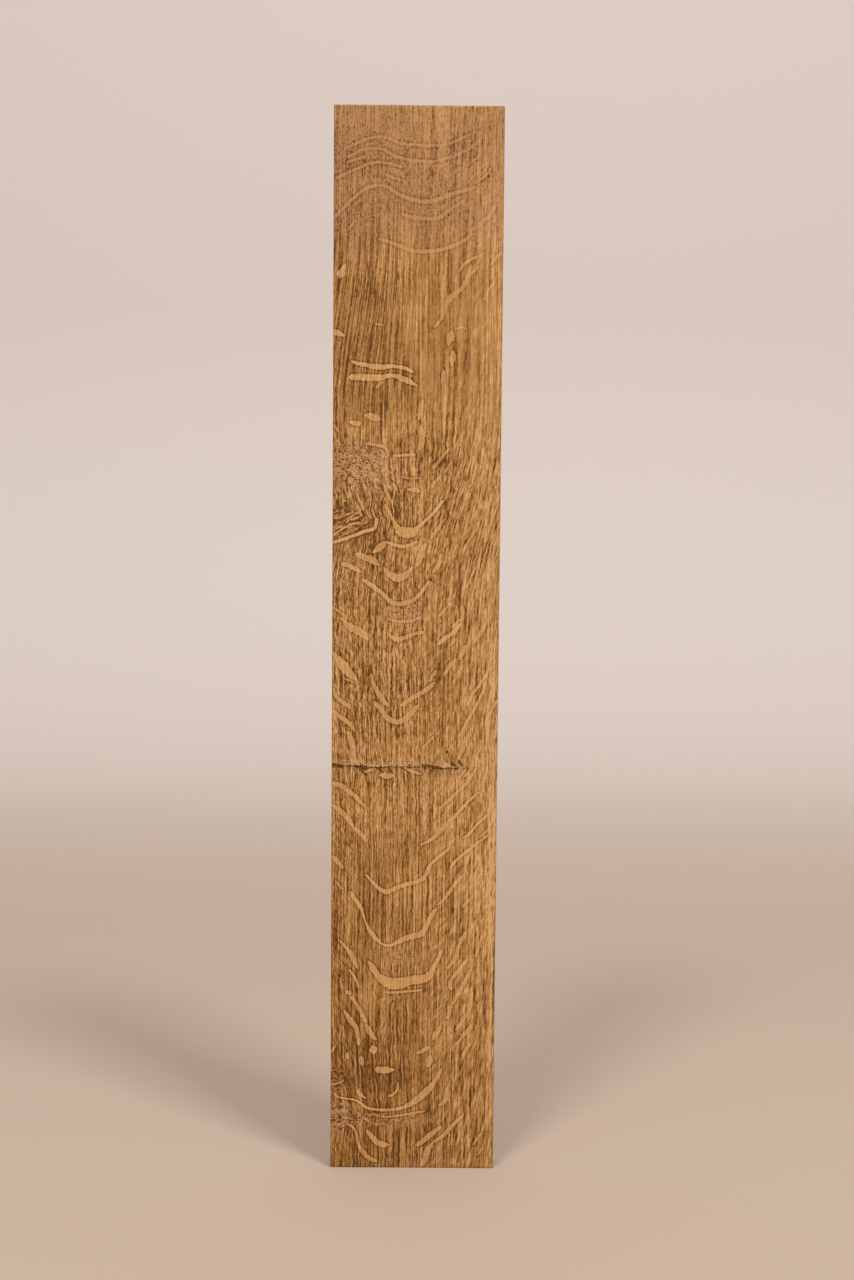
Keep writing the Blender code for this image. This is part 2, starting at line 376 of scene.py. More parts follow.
    (0.7, ((82, 284, 1.4), (90, 291, 2), (97, 298, 2), (104, 305, 1.8), (109, 312, 1.4))),
    (0.9, ((91.5, 237.6, 1.2), (93.6, 241, 1.6), (97.3, 245.4, 1.9), (103.2, 250.6, 1.7),
        (108.4, 254.4, 1.6), (112.1, 258, 1.6), (116.6, 261, 1.4), (121.3, 265, 1))),
    (0.8, ((100.5, 261.6, 1), (104, 263.4, 1.4), (107.7, 267, 1.4), (112.1, 272.8, 1.5),
        (116.6, 276.7, 1.3), (121, 281.2, 1))),
    (0.6, ((112.8, 261.6, 1), (116.6, 264.8, 1.2), (119.6, 267.8, 1.2), (122, 271, 0.9))),
    (0.6, ((114.4, 221.6, 1), (117, 226.5, 1.5), (121, 232, 1.2))),
    (0.7, ((109, 190, 1.4), (110.6, 194.6, 2.2), (113, 199, 1.4))),
    (0.6, ((108.4, 257, 1), (108.3, 240, 1.5), (107.9, 212, 1.5), (107.2, 192, 1.3), (106.6, 178, 0.9))),
    (0.5, ((118, 235.6, 1), (121.4, 240.6, 1.1))),
    (0.7, ((82, 209, 1.8), (88, 215, 2.4), (93, 222, 2.2), (97, 228, 2), (103, 234, 1.4))),
    (0.6, ((101, 207, 1.8), (105, 212, 2), (110, 217, 1.6))),
    # The deep bowl and the broad one under it
    (0.95, ((15.4, 219.6, 1), (17, 215.2, 2.6), (20.6, 210, 2.8), (23.6, 205, 1.8), (25.2, 199.6, 0.9),
        (27.2, 194.2, 1.1), (30, 188.6, 2.5), (33.6, 183.6, 2.6), (37, 180.2, 1.8), (40, 178, 1),
        (44, 177, 1.6), (47.6, 177.6, 1.5), (51, 179.6, 2.4), (58, 183, 3.8), (65, 185, 4.2),
        (70, 187, 3.8), (73.5, 192, 3.4), (76.3, 199, 3.1), (79, 203.5, 3), (81.5, 206.6, 1.6))),
    (0.85, ((6, 181.4, 0.7), (9.4, 177.8, 1.2), (12.6, 174, 2), (15, 170.6, 3), (17.4, 166, 3.2),
        (19.4, 161.6, 2), (20.8, 158.6, 0.8))),
    (1.0, ((28.5, 165, 1.8), (33, 158, 4.4), (37, 153, 4.4), (42, 149, 7), (48, 147, 8.4), (56, 148, 8),
        (64, 150, 6.4), (72, 151, 6), (77, 155, 4.6), (80, 161, 2.8), (86, 174, 1.6))),
    (0.9, ((40.5, 140, 0.9), (50, 140, 1.4), (60, 141, 1.2), (71, 142, 0.9))),
    (0.8, ((13.4, 158.4, 0.8), (16, 155.6, 1.5), (18.6, 151.6, 1.6), (20.6, 147, 1.3), (21.6, 142.6, 0.8))),
    (0.8, ((11, 140.5, 2.4), (13, 140, 3.6), (16, 139, 2.4))),
    (0.8, ((15.5, 137, 2), (22, 127, 2.6), (28, 115, 2))),
    (0.6, ((7.5, 152, 1.6), (8, 146, 2), (9.5, 141, 1.4))),
    (0.9, ((10, 126, 2), (15, 118, 3.4), (20, 111, 3), (22, 97, 1.6))),
    (0.9, ((27, 115.5, 1.8), (31, 107, 3.6), (36, 102, 2.6))),
    (0.6, ((31, 141, 1.6), (35.5, 135.5, 1.6))),
    (0.7, ((79, 142, 1.8), (78, 137.5, 1.6))),
    (0.8, ((90, 159, 1.6), (96, 167, 2.8), (98, 175, 3), (101, 182, 2.8), (104.5, 189, 1.8))),
    (0.8, ((93, 142, 2.2), (93, 149, 2.8), (98, 157, 2.4), (105.5, 167, 1.6))),
    (0.7, ((94, 130.5, 1.8), (99, 139, 2.2), (104, 150, 2), (108.5, 159, 1.4))),
    (0.7, ((90, 119, 2.2), (93, 130, 2.6))),
    (0.8, ((79, 102, 2.8), (82, 108, 4), (86, 114, 2.8))),
    (0.8, ((97, 110, 1.6), (102, 118, 2.6), (107, 127, 2.6), (110, 141, 1.8))),
    (0.7, ((101, 105, 1.8), (110, 115, 1.6))),
    (0.6, ((111.5, 168, 1.6), (117, 185, 2.2), (120.5, 194, 1.6))),
    # Near the foot
    (1.0, ((32, 98, 4), (33, 95, 6), (34, 91, 4))),
    (0.8, ((23.5, 90, 2.4), (24, 85.5, 4), (25, 81, 2.2))),
    (1.0, ((34.6, 78.7, 4.6), (37, 78.5, 5), (41, 78.3, 5), (44.5, 78.4, 4.4), (47, 78.4, 2.4),
        (49.8, 78.7, 1))),
    (0.9, ((77.5, 91, 3.2), (77, 86, 4.4), (75.5, 80.5, 3))),
    (0.8, ((66, 91.5, 1.8), (72, 94, 2.6), (77, 97.5, 1.8))),
    (0.9, ((13, 92.6, 1.6), (13, 89.6, 3.2), (13.2, 86.4, 1.8))),
    (0.95, ((3.6, 59.8, 0.7), (4.8, 57.2, 0.9), (9, 55.7, 0.9), (15, 55, 0.9), (20, 53.8, 1),
        (24, 51.2, 1.3), (28, 48.2, 1.7), (33, 46.9, 1.5), (40, 46.3, 1.7), (46, 46.5, 1.8), (54, 47.6, 2),
        (61, 50.4, 2.8), (68, 55.4, 4.6), (75, 62, 4.8), (80, 68, 3.4), (84, 75, 2.8), (86.5, 80, 1.6))),
    (0.8, ((39, 41.2, 0.9), (46, 41, 1), (60, 43, 1.2), (74, 45.8, 0.9))),
    (0.5, ((28, 43.6, 0.8), (31, 42.2, 1.3), (34, 43.4, 1), (36.4, 41.2, 1.3), (38.6, 43.2, 0.8))),
    (0.8, ((25.4, 40, 0.9), (28, 38.8, 1.7), (30.2, 36.4, 0.9))),
    (0.5, ((10, 39.4, 0.9), (13.6, 39.8, 1.2), (17.4, 38.6, 0.8))),
    (0.35, ((33, 36.4, 0.8), (36, 34.6, 1.3), (40, 35.6, 1), (43, 33.8, 0.8))),
    (0.35, ((46, 37.8, 0.8), (50, 38.8, 1.2), (55, 37.6, 0.8))),
    (0.4, ((19, 45.4, 0.8), (22, 43.2, 1.3), (24.2, 40.4, 0.8))),
    (0.9, ((22.8, 63.6, 1), (21.4, 61.2, 2.6), (22.2, 59.2, 2.6), (24.6, 57.4, 1.4), (27.8, 55.4, 0.9))),
    (0.8, ((44, 57, 1), (49, 59, 1.5), (51.8, 62.5, 1.3), (52.6, 69, 0.8))),
    (0.8, ((84, 50, 1.8), (89, 54, 3), (91, 65, 1.6))),
    (0.9, ((28, 30.4, 1.1), (31, 26.5, 2.8), (34.5, 22.5, 3.6), (38, 19.6, 4.2), (42, 18.6, 3.8),
        (46.5, 18.6, 1.5))),
    (0.8, ((66, 17.5, 2.8), (70, 20, 3.4), (76, 25, 3.6), (82, 30, 3), (87, 34, 2))),
    (0.8, ((80, 20.5, 1.6), (88, 26, 2.4), (95, 34, 2.6), (104, 43, 1.6))),
    (0.8, ((71, 1, 3.4), (74, 8, 4), (76, 14, 4), (80.5, 21, 2.4))),
    (0.8, ((13, 35, 1), (16.4, 33.2, 1.2), (19, 30.6, 1.2), (20.4, 26, 1.3), (21.4, 19.6, 1.8), (25, 13, 3),
        (30, 8, 3), (37, 5, 2))),
    (0.6, ((0, 91, 1.8), (3.5, 98, 1.4))),
    (0.8, ((0, 66, 0.9), (8, 68.5, 1), (10.5, 70.5, 0.8))),
    (0.7, ((97, 98.5, 1.4), (105, 108, 1.6), (110, 113, 1.2))),
    (0.7, ((102.5, 89.5, 2), (109, 101, 2.2))),
    (0.5, ((111, 18.5, 1.4), (118.5, 29, 1.4))),
    (0.5, ((114.5, 10, 1.2), (119.5, 17, 1.2))),
    # Dark lines of pores
    (-0.8, ((96.6, 474, 0.7), (97, 450, 0.9), (96.8, 421, 0.9), (96.2, 402, 0.6))),
    (-0.7, ((85.2, 412, 0.7), (85, 370, 0.9), (84.8, 331, 0.7))),
    (-0.6, ((94.3, 360, 0.7), (95.4, 345, 0.9), (95.6, 330, 0.7))),
    (-0.8, ((24.6, 698, 0.7), (26, 693, 1.1), (26.4, 688, 0.7))),
    (-0.8, ((30.4, 679, 0.8), (31.5, 674, 1.2), (31.9, 670, 0.7))),
    (-0.8, ((48.2, 691, 0.7), (48.7, 687, 1), (49, 684, 0.7))),
    (-0.5, ((81.5, 398, 1.6), (81.5, 390, 3.4), (81.2, 380, 1.8))),
    (-0.6, ((24, 398, 0.8), (24.4, 388, 1.8), (24, 372, 1.2))),
    (-0.6, ((88.8, 495, 0.8), (89.4, 489, 1.5), (88.6, 482, 0.8))),
)
FLECK_MARGIN = 2.4  # how far outside its edge a fleck's field is kept
FLECK_TAPER = 1.1  # length of a fleck's pointed end, in thicknesses
FLECK_BLUNT = 0.4  # the same for a blunt end
FLECK_BLUNT_FROM = 0.8  # an end at least this thick, as a share of the fleck's thickest place, is blunt
FLECK_END = 0.33  # the most of a fleck's length that one rounded end takes
NO_FLECK = (9.0, -9.0, 0.0)  # what the mesh holds where there is no fleck

# The map for baked colours: each long face lies in it as two halves side by side
MAP_NAME = "OFBake"
ACROSS, THROUGH, UP = 0, 1, 2  # the axes x, y and z
MAP_COLUMNS = (
    # The axis that a face looks along, whether it looks the positive way, and the share of the map's width
    (THROUGH, False, 0.28),
    (THROUGH, True, 0.125),
    (ACROSS, False, 0.035),
    (ACROSS, True, 0.035),
)
MAP_ENDS = 0.05
MAP_GAP = 0.005

# The back's own figure
BACK_SEED = 7
BACK_FLECKS = 95

# Camera, in the row frame
CAMERA_PLACE = (0.001, -1.3585, 0.534)
CAMERA_YAW = -0.33
CAMERA_PITCH = -5.06
CAMERA_ROLL = -0.47
CAMERA_LENS = 50.0
CAMERA_SENSOR = 36.0


# The wood's own coordinates


def smoothstep(low, high, value):
    """0 below low, 1 above high and a soft step between them."""
    share = np.clip((value - low) / (high - low), 0.0, 1.0)
    return share * share * (3.0 - 2.0 * share)


def bowl_rise(u):
    """Height of the bowl-shaped ray line over its lowest point, at each u: steep right, less so left."""
    square, cube = BOWL_RIGHT
    right = np.maximum(u - BOWL_MIDDLE, 0.0)
    left = np.maximum(BOWL_MIDDLE - u, 0.0)
    arc = BOWL_LEFT_CLIMB * BOWL_LEFT_REACH * (1.0 - np.cos(left / BOWL_LEFT_REACH))
    return square * right**2 + cube * right**3 + arc


def back_bowl_rise(u):
    """Height of the back's bowls over their lowest point, at each u."""
    return BACK_BOWL * bowl_rise(u * 0.9 + 4)


def back_ray_height(u, z):
    """The height by which the back's ray lines are told apart."""
    return z - back_bowl_rise(u)


def wave_rise(u):
    """Height of the waved ray line near the top of the board, which climbs at the right."""
    fade = np.exp(-(((u - WAVE_MIDDLE) / WAVE_FADE) ** 2))
    wave = WAVE_HEIGHT * np.cos((u - WAVE_TOP) / WAVE_REACH) * fade
    return wave + WAVE_CLIMB * np.maximum(u - WAVE_CLIMB_FROM, 0) ** 2


def ray_height(u, z):
    """The height by which the show face's ray lines are told apart: bowls below and waves above."""
    top = smoothstep(*WAVES_FROM, z)
    steep = 1.0
    for height, half, change in BOWL_CHANGES:
        steep = steep + change * np.exp(-(((z - height) / half) ** 2))
    return z - (1.0 - top) * steep * bowl_rise(u) - top * wave_rise(u)


def ring_distance(x, y, z):
    """Distance from the pith, bent by the slow sway of the trunk and by the knots at the left edge."""
    u = x + WIDTH / 2
    far = np.hypot(x - PITH_X, y - PITH_Y)
    for reach, height, phase in TRUNK_SWAYS:
        far = far + reach * np.sin(z / height + phase)
    far = far + LEAN_SHIFT * smoothstep(*LEAN_HEIGHTS, z) * (1.0 - smoothstep(*LEAN_FADE, u))
    slant = SLANT_SHIFT * np.tanh((z - SLANT_HEIGHT) / (SLANT_SHIFT * SLANT_SLOPE))
    far = far + slant * smoothstep(*SLANT_REACH, u)
    for height, half, reach, push in KNOT_BENDS:
        far = far + push * np.exp(-(((z - height) / half) ** 2)) * np.exp(-np.maximum(u, 0.0) / reach)
    return far


def patches(u, z, spots):
    """How deep each place lies in the nearest of the oval patches."""
    found = np.zeros_like(u)
    for at_u, at_z, half_u, half_z, strength in spots:
        away = np.hypot((u - at_u) / half_u, (z - at_z) / half_z)
        found = np.maximum(found, strength * (1.0 - smoothstep(*PATCH_EDGE, away)))
    return found


def broad_shade(u, z):
    """How much the tone changes at each place by the broad darker and lighter places."""
    total = np.zeros_like(u)
    for at_u, at_z, half_u, half_z, change in SHADES:
        total = total + change * np.exp(-(((u - at_u) / half_u) ** 2) - ((z - at_z) / half_z) ** 2)
    return total


def check_line(u):
    """Height of the check's line, as in the solid."""
    share = np.clip(u / CHECK_REACH, 0.0, 1.0)
    height = CHECK_HEIGHT - CHECK_DROP * share**2
    for turns, phase, stray in CHECK_WAVES:
        height = height + stray * np.sin(2 * math.pi * turns * share + phase)
    return height


def ragged_line(u):
    """The check's line with the small jags that the solid leaves out."""
    jags = CHECK_JAGS * np.sin(u * 0.93) * np.sin(u * 0.37 + 1.0) + CHECK_SMALL_JAGS * np.sin(u * 1.9)
    return check_line(u) + jags


def check_opening(u):
    share = u / CHECK_REACH
    open_by = CHECK_CLOSED + (1.0 - CHECK_CLOSED) * np.sqrt(np.maximum(0.0, 1.0 - np.abs(share) ** 3))
    return np.where(share <= 1.0, open_by, 0.0)


# Flecks


def smooth_line(points, step=1.0):
    """A Catmull-Rom curve through the points, with a sample about every step millimetres."""
    points = np.array(points, float)
    ends = np.vstack([2 * points[0] - points[1], points, 2 * points[-1] - points[-2]])
    samples = []
    for i in range(1, len(ends) - 2):
        p0, p1, p2, p3 = ends[i - 1 : i + 3]
        count = max(2, int(np.hypot(*(p2 - p1)[:2]) / step))
        for t in np.arange(count) / count:
            samples.append(
                0.5 * (2 * p1 + (p2 - p0) * t + (2 * p0 - 5 * p1 + 4 * p2 - p3) * t**2
                       + (3 * p1 - p0 - 3 * p2 + p3) * t**3)
            )
    samples.append(points[-1])
    return np.array(samples)


def fleck_field(line, u, z):
    """Signed distance across a fleck's middle line, and its thickness there, at each place."""
    start, end = line[:-1], line[1:]
    run = end[:, :2] - start[:, :2]
    length = np.maximum(np.hypot(run[:, 0], run[:, 1]), 1e-6)
    run = run / length[:, None]
    to_u = u[..., None] - start[:, 0]
    to_z = z[..., None] - start[:, 1]
    along = to_u * run[:, 0] + to_z * run[:, 1]
    across = to_u * run[:, 1] - to_z * run[:, 0]
    inside = np.clip(along, 0.0, length)
    away = np.hypot(across, along - inside)
    nearest = away.argmin(-1)[..., None]

    def pick(values):
        return np.take_along_axis(np.broadcast_to(values, away.shape), nearest, -1)[..., 0]

    offset = pick(across)
    share = pick(inside / length)
    thick = pick(start[:, 2]) * (1 - share) + pick(end[:, 2]) * share
    travelled = pick(np.concatenate([[0.0], np.cumsum(length)[:-1]])) + pick(along)
    total = length.sum()
    taper = np.ones_like(offset)
    for to_end, given in ((travelled, line[0, 2]), (total - travelled, line[-1, 2])):
        blunt = given >= FLECK_BLUNT_FROM * line[:, 2].max()
        reach = (FLECK_BLUNT if blunt else FLECK_TAPER) * np.maximum(thick, 0.5)
        reach = np.minimum(reach, FLECK_END * total)
        taper = np.minimum(taper, np.clip(to_end / reach, 0.0, 1.0) ** 0.7)
    beyond = np.minimum(travelled, total - travelled)
    return offset, np.where(beyond < 0, 2.0 * beyond, thick * taper)


def figure_corners(columns, rows, flecks):
    """For each corner of each cell of a grid, the field of the fleck that is strongest in that cell."""
    cells = (len(rows) - 1, len(columns) - 1)
    best = np.full(cells, -1e9)
    corners = np.empty(cells + (4, 3))
    corners[:] = NO_FLECK
    for tone, points in flecks:
        line = smooth_line(points)
        margin = FLECK_MARGIN + line[:, 2].max() / 2
        c0 = max(0, np.searchsorted(columns, line[:, 0].min() - margin) - 1)
        c1 = min(len(columns), np.searchsorted(columns, line[:, 0].max() + margin) + 1)
        r0 = max(0, np.searchsorted(rows, line[:, 1].min() - margin) - 1)
        r1 = min(len(rows), np.searchsorted(rows, line[:, 1].max() + margin) + 1)
        if c1 - c0 < 2 or r1 - r0 < 2:
            continue
        u, z = np.meshgrid(columns[c0:c1], rows[r0:r1])
        offset, thick = fleck_field(line, u, z)
        field = np.stack([offset, thick, np.full_like(u, tone)], -1)
        around = np.stack([field[:-1, :-1], field[:-1, 1:], field[1:, 1:], field[1:, :-1]], 2)
        inner = (around[..., 1] / 2 - np.abs(around[..., 0])).mean(-1)
        window = (slice(r0, r1 - 1), slice(c0, c1 - 1))
        wins = (inner > best[window]) & (inner > -FLECK_MARGIN)
        best[window] = np.where(wins, inner, best[window])
        corners[window] = np.where(wins[..., None, None], around, corners[window])
    return corners


def back_flecks():
    """The back's flecks: slivers and bowls that follow the ray lines, drawn with a fixed seed."""
    rng = np.random.default_rng(BACK_SEED)
    made = []
    for _ in range(BACK_FLECKS):
        middle = rng.uniform(4, WIDTH - 4)
        height = rng.uniform(-60, LENGTH)
        reach = rng.uniform(4, 12) if rng.random() < 0.8 else rng.uniform(18, 34)
        thick = rng.uniform(1.6, 3.4) if reach < 15 else rng.uniform(3.0, 5.5)
        u = np.linspace(middle - reach, middle + reach, 7)
        z = height + back_bowl_rise(u) + rng.uniform(-0.8, 0.8, 7)
        if z.max() - z.min() > 60:
            continue
        swell = thick * (0.55 + 0.45 * np.sin(np.linspace(0.2, math.pi - 0.2, 7)))
        made.append((rng.uniform(0.5, 1.0), tuple(zip(u, z, swell))))
    return made


# The mesh


def stations(low, high, step):
    """Evenly spaced stations from low to high, about step apart."""
    return np.linspace(low, high, max(2, int(round((high - low) / step)) + 1))


def show_rows():
    """Heights of the show face's rows, close together at the check."""
    low = CHECK_HEIGHT - CHECK_DROP - CHECK_MARGIN
    high = CHECK_HEIGHT + CHECK_MARGIN
    below = stations(ARRIS, low, SHOW_STEP)
    check = stations(low, high, CHECK_STEP)
    above = stations(high, LENGTH - ARRIS, SHOW_STEP)
    return np.concatenate([below, check[1:-1], above])


class Skin:
    """The board's surface, built face by face from shared points."""

    def __init__(self):
        self.points = []
        self.faces = []
        self.count = 0

    def add(self, points):
        """Adds points, in millimetres, and returns their numbers in the same arrangement."""
        points = np.asarray(points, float)
        numbers = np.arange(self.count, self.count + points.size // 3).reshape(points.shape[:-1])
        self.points.append(points.reshape(-1, 3))
        self.count += points.size // 3
        return numbers

    def grid(self, numbers):
        """Fills a grid of points with four-sided faces."""
        quads = np.stack([numbers[:-1, :-1], numbers[:-1, 1:], numbers[1:, 1:], numbers[1:, :-1]], -1)
        first = len(self.faces)
        self.faces.extend(quads.reshape(-1, 4).tolist())
        return first

    def strip(self, a, b, axis):
        """Joins two rows of points that run side by side, whatever their numbers of points."""
        place = np.concatenate(self.points)[:, axis]
        i, j = 0, 0
        while i < len(a) - 1 or j < len(b) - 1:
            next_a = place[a[i + 1]] if i < len(a) - 1 else math.inf
            next_b = place[b[j + 1]] if j < len(b) - 1 else math.inf
            if abs(next_a - next_b) < 1e-6:
                self.faces.append([a[i], a[i + 1], b[j + 1], b[j]])
                i += 1
                j += 1
            elif next_a < next_b:
                self.faces.append([a[i], a[i + 1], b[j]])
                i += 1
            else:
                self.faces.append([a[i], b[j + 1], b[j]])
                j += 1


def show_relief(u, z):
    """How far the show face lies below its plane: the check's groove, and the torn strip over it."""
    gape = CHECK_HALF_GAPE * check_opening(u) * (1.1 + 0.5 * np.sin(u * 1.3) * np.sin(u * 0.71 + 1.0))
    away = np.abs(z - ragged_line(u))
    depth = CHECK_DEPTH * check_opening(u) * np.clip(1.0 - away / np.maximum(gape, 1e-3), 0.0, 1.0)
    lip = np.exp(-((z - ragged_line(u) - CHECK_LIP_OVER) ** 2))
    torn = CHECK_LIP * check_opening(u) * (0.6 + 0.4 * np.sin(u * 2.3)) * lip
    return depth + torn


def face_grid(first, second, place):
    """The points of a flat face over two lists of stations, placed by a function."""
    a, b = np.meshgrid(first, second)
    return np.stack(np.broadcast_arrays(*place(a, b)), -1)


def make_skin():
    """All of the board's points and faces, and where the show face and the back begin."""
    half_w, half_t = WIDTH / 2, THICK / 2
    show_u = stations(ARRIS, WIDTH - ARRIS, SHOW_STEP) - half_w
    side_u = stations(ARRIS, WIDTH - ARRIS, BACK_STEP) - half_w
    side_y = stations(-half_t + ARRIS, half_t - ARRIS, BACK_STEP)
    show_z = show_rows()
    side_z = stations(ARRIS, LENGTH - ARRIS, BACK_STEP)
    skin = Skin()
    grids = {
        "show": face_grid(show_u, show_z, lambda a, b: (a, -half_t + show_relief(a + half_w, b), b)),
        "back": face_grid(side_u, side_z, lambda a, b: (a, np.full_like(a, half_t), b)),
        "left": face_grid(side_y, side_z, lambda a, b: (np.full_like(a, -half_w), a, b)),
        "right": face_grid(side_y, side_z, lambda a, b: (np.full_like(a, half_w), a, b)),
        "foot": face_grid(side_u, side_y, lambda a, b: (a, b, np.zeros_like(a))),
        "top": face_grid(side_u, side_y, lambda a, b: (a, b, np.full_like(a, LENGTH))),
    }
    numbers = {name: skin.add(points) for name, points in grids.items()}
    begins = {name: skin.grid(numbers[name]) for name in grids}
    add_arrises(skin, numbers, side_u, side_y, side_z)
    return skin, begins, (show_u + half_w, show_z), (side_u + half_w, side_z)


def corner_wear(place):
    """How much the middle of a corner is worn at each place along it."""
    return ARRIS_WEAR * (0.5 + 0.5 * np.sin(place / 9.0) * np.sin(place / 23.0 + 1.0))


def add_arris(skin, first, last, axis, places):
    """One eased corner: a row of points between the outer rows of two faces, joined to both."""
    middle = skin.add(np.stack(places, -1))
    skin.strip(first, middle, axis)
    skin.strip(middle, last, axis)
    return middle


def add_arrises(skin, numbers, side_u, side_y, side_z):
    """All the eased corners between the faces."""
    inset = ARRIS * ARRIS_SHARE
    half_w, half_t = WIDTH / 2 - inset, THICK / 2 - inset
    sides = ((-1, "left", 0), (1, "right", -1))
    depths = ((-1, "show", 0), (1, "back", -1))
    middles = {}
    for (sign, side, column), (depth, face, near) in itertools.product(sides, depths):
        worn = corner_wear(side_z)
        if side == "right" and face == "show":
            worn = worn + NICK_DEPTH * np.exp(-(((side_z - NICK_HEIGHT) / NICK_HALF_LENGTH) ** 2))
        places = (sign * (half_w - worn), depth * (half_t - worn), side_z)
        middles[(sign, depth, 0)] = add_arris(
            skin, numbers[face][:, column], numbers[side][:, near], UP, places
        )
    for end, name, height, row in ((-1, "foot", 0.0, 0), (1, "top", LENGTH, -1)):
        cap = numbers[name]
        for depth, face, near in depths:
            worn = corner_wear(side_u + ROW_SHIFT * depth)
            places = (side_u, depth * (half_t - worn), height - end * (inset + worn))
            middles[(0, depth, end)] = add_arris(skin, numbers[face][row, :], cap[near, :], ACROSS, places)
        for sign, side, column in sides:
            worn = corner_wear(side_y + SIDE_SHIFT * sign)
            places = (sign * (half_w - worn), side_y, height - end * (inset + worn))
            middles[(sign, 0, end)] = add_arris(skin, numbers[side][row, :], cap[:, column], THROUGH, places)
    add_corners(skin, numbers, middles)


def add_corners(skin, numbers, middles):
    """The eight rounded corners, each a fan round a point of its own."""
    places = np.concatenate(skin.points)
    for sign, depth, end in itertools.product((-1, 1), repeat=3):
        column, near, row = (0 if way < 0 else -1 for way in (sign, depth, end))
        ring = [
            numbers["show" if depth < 0 else "back"][row, column],
            middles[(sign, depth, 0)][row],
            numbers["left" if sign < 0 else "right"][row, near],
            middles[(sign, 0, end)][near],
            numbers["foot" if end < 0 else "top"][near, column],
            middles[(0, depth, end)][column],
        ]
        around = np.mean([places[n] for n in ring], 0)
        centre = skin.add(around[None, :])[0]
        for a, b in zip(ring, ring[1:] + ring[:1]):
            skin.faces.append([a, b, centre])


def point_vectors(mesh, name, *values):
    """Stores three numbers for each point of the mesh."""
    made = mesh.attributes.new(name, "FLOAT_VECTOR", "POINT")
    made.data.foreach_set("vector", np.stack(values, -1).astype(np.float32).ravel())


def point_numbers(mesh, name, values):
    """Stores one number for each point of the mesh."""
    made = mesh.attributes.new(name, "FLOAT", "POINT")
    made.data.foreach_set("value", values.astype(np.float32))


def bowl_length(u):
    """The length of the bowl-shaped ray line from the left edge to each u."""
    at = np.linspace(0, WIDTH, 128)
    slope = np.gradient(bowl_rise(at), WIDTH / 127)
    return np.interp(u, at, np.concatenate([[0.0], np.cumsum(np.sqrt(1 + slope[1:] ** 2) * WIDTH / 127)]))


def set_wood_fields(mesh, points):
    """The wood's own coordinates, the patches, and which side of the board each point is on."""
    x, y, z = points.T
    u = x + WIDTH / 2
    at_back = y > 0
    front = np.where(y < -THICK / 2 + 2.0, 1.0, 0.0)
    ray = np.where(at_back, back_ray_height(u, z), ray_height(u, z))
    point_vectors(mesh, "flow", ring_distance(x, y, z), ray, bowl_length(u))
    zones = (PINK_PATCHES, DARK_PATCHES, SPECKLED_PATCHES)
    point_vectors(mesh, "zones", *(patches(u, z, spots) * front for spots in zones))
    point_numbers(mesh, "shade", broad_shade(u, z) * front)
    point_numbers(mesh, "calm", patches(u, z, CALM_PATCHES) * front)
    edge = smoothstep(WIDTH / 2 - ARRIS, WIDTH / 2, np.abs(x))
    end = np.maximum(1.0 - smoothstep(0.0, ARRIS, z), smoothstep(LENGTH - ARRIS, LENGTH, z))
    point_vectors(mesh, "sides", edge, end, np.where(at_back, 1.0, 0.0))
    wavy = patches(u, z, WAVY_PATCHES) * front
    point_vectors(mesh, "split", z - ragged_line(u), check_opening(u) * front, wavy)


def make_board(material):
    """The board's mesh, with the figure of the show face and of the back."""
    skin, begins, show, back = make_skin()
    points = np.concatenate(skin.points)
    mesh = bpy.data.meshes.new("oak_board_skin")
    mesh.from_pydata((points * MM).tolist(), [], [list(map(int, f)) for f in skin.faces])
    mesh.materials.append(material)
    set_wood_fields(mesh, points)
    loops = np.empty((len(mesh.loops), 3))
    loops[:] = NO_FLECK
    for name, (columns, rows), flecks in (("show", show, FLECKS), ("back", back, back_flecks())):
        corners = figure_corners(columns, rows, flecks)
        first = mesh.polygons[begins[name]].loop_start
        loops[first : first + corners.size // 3] = corners.reshape(-1, 3)
    figure = mesh.attributes.new("figure", "FLOAT_VECTOR", "CORNER")
    figure.data.foreach_set("vector", loops.astype(np.float32).ravel())
    face_outward(mesh)
    show_faces = slice(begins["show"], begins["show"] + (len(show[0]) - 1) * (len(show[1]) - 1))
    lay_out_map(mesh, show_faces)
    board = bpy.data.objects.new("board", mesh)
    bpy.context.scene.collection.objects.link(board)
    return board


def face_outward(mesh):
    """Turns every face outward and shades the mesh smooth."""
    bm = bmesh.new()
    bm.from_mesh(mesh)
    bmesh.ops.recalc_face_normals(bm, faces=bm.faces)
    bm.to_mesh(mesh)
    bm.free()
    mesh.shade_smooth()


def read_numbers(items, name, width, kind):
    """One row of numbers for each of the mesh's items."""
    found = np.empty(len(items) * width, np.int32 if kind is int else np.float32)
    items.foreach_get(name, found)
    return found.reshape(-1, width)


def facing_of_faces(mesh, show_faces):
    """For each face, the axis that it looks along, and whether it looks the positive way."""
    normal = read_numbers(mesh.polygons, "normal", 3, float)
    axis = np.abs(normal).argmax(1)
    axis[show_faces] = THROUGH
    over = np.take_along_axis(normal, axis[:, None], 1)[:, 0] > 0
    over[show_faces] = False
    return axis, over


def fit(share, low, width):
    """Shares from 0 to 1 as places in a strip of the map, with a gap at both of its sides."""
    return low + MAP_GAP + share * (width - 2 * MAP_GAP)


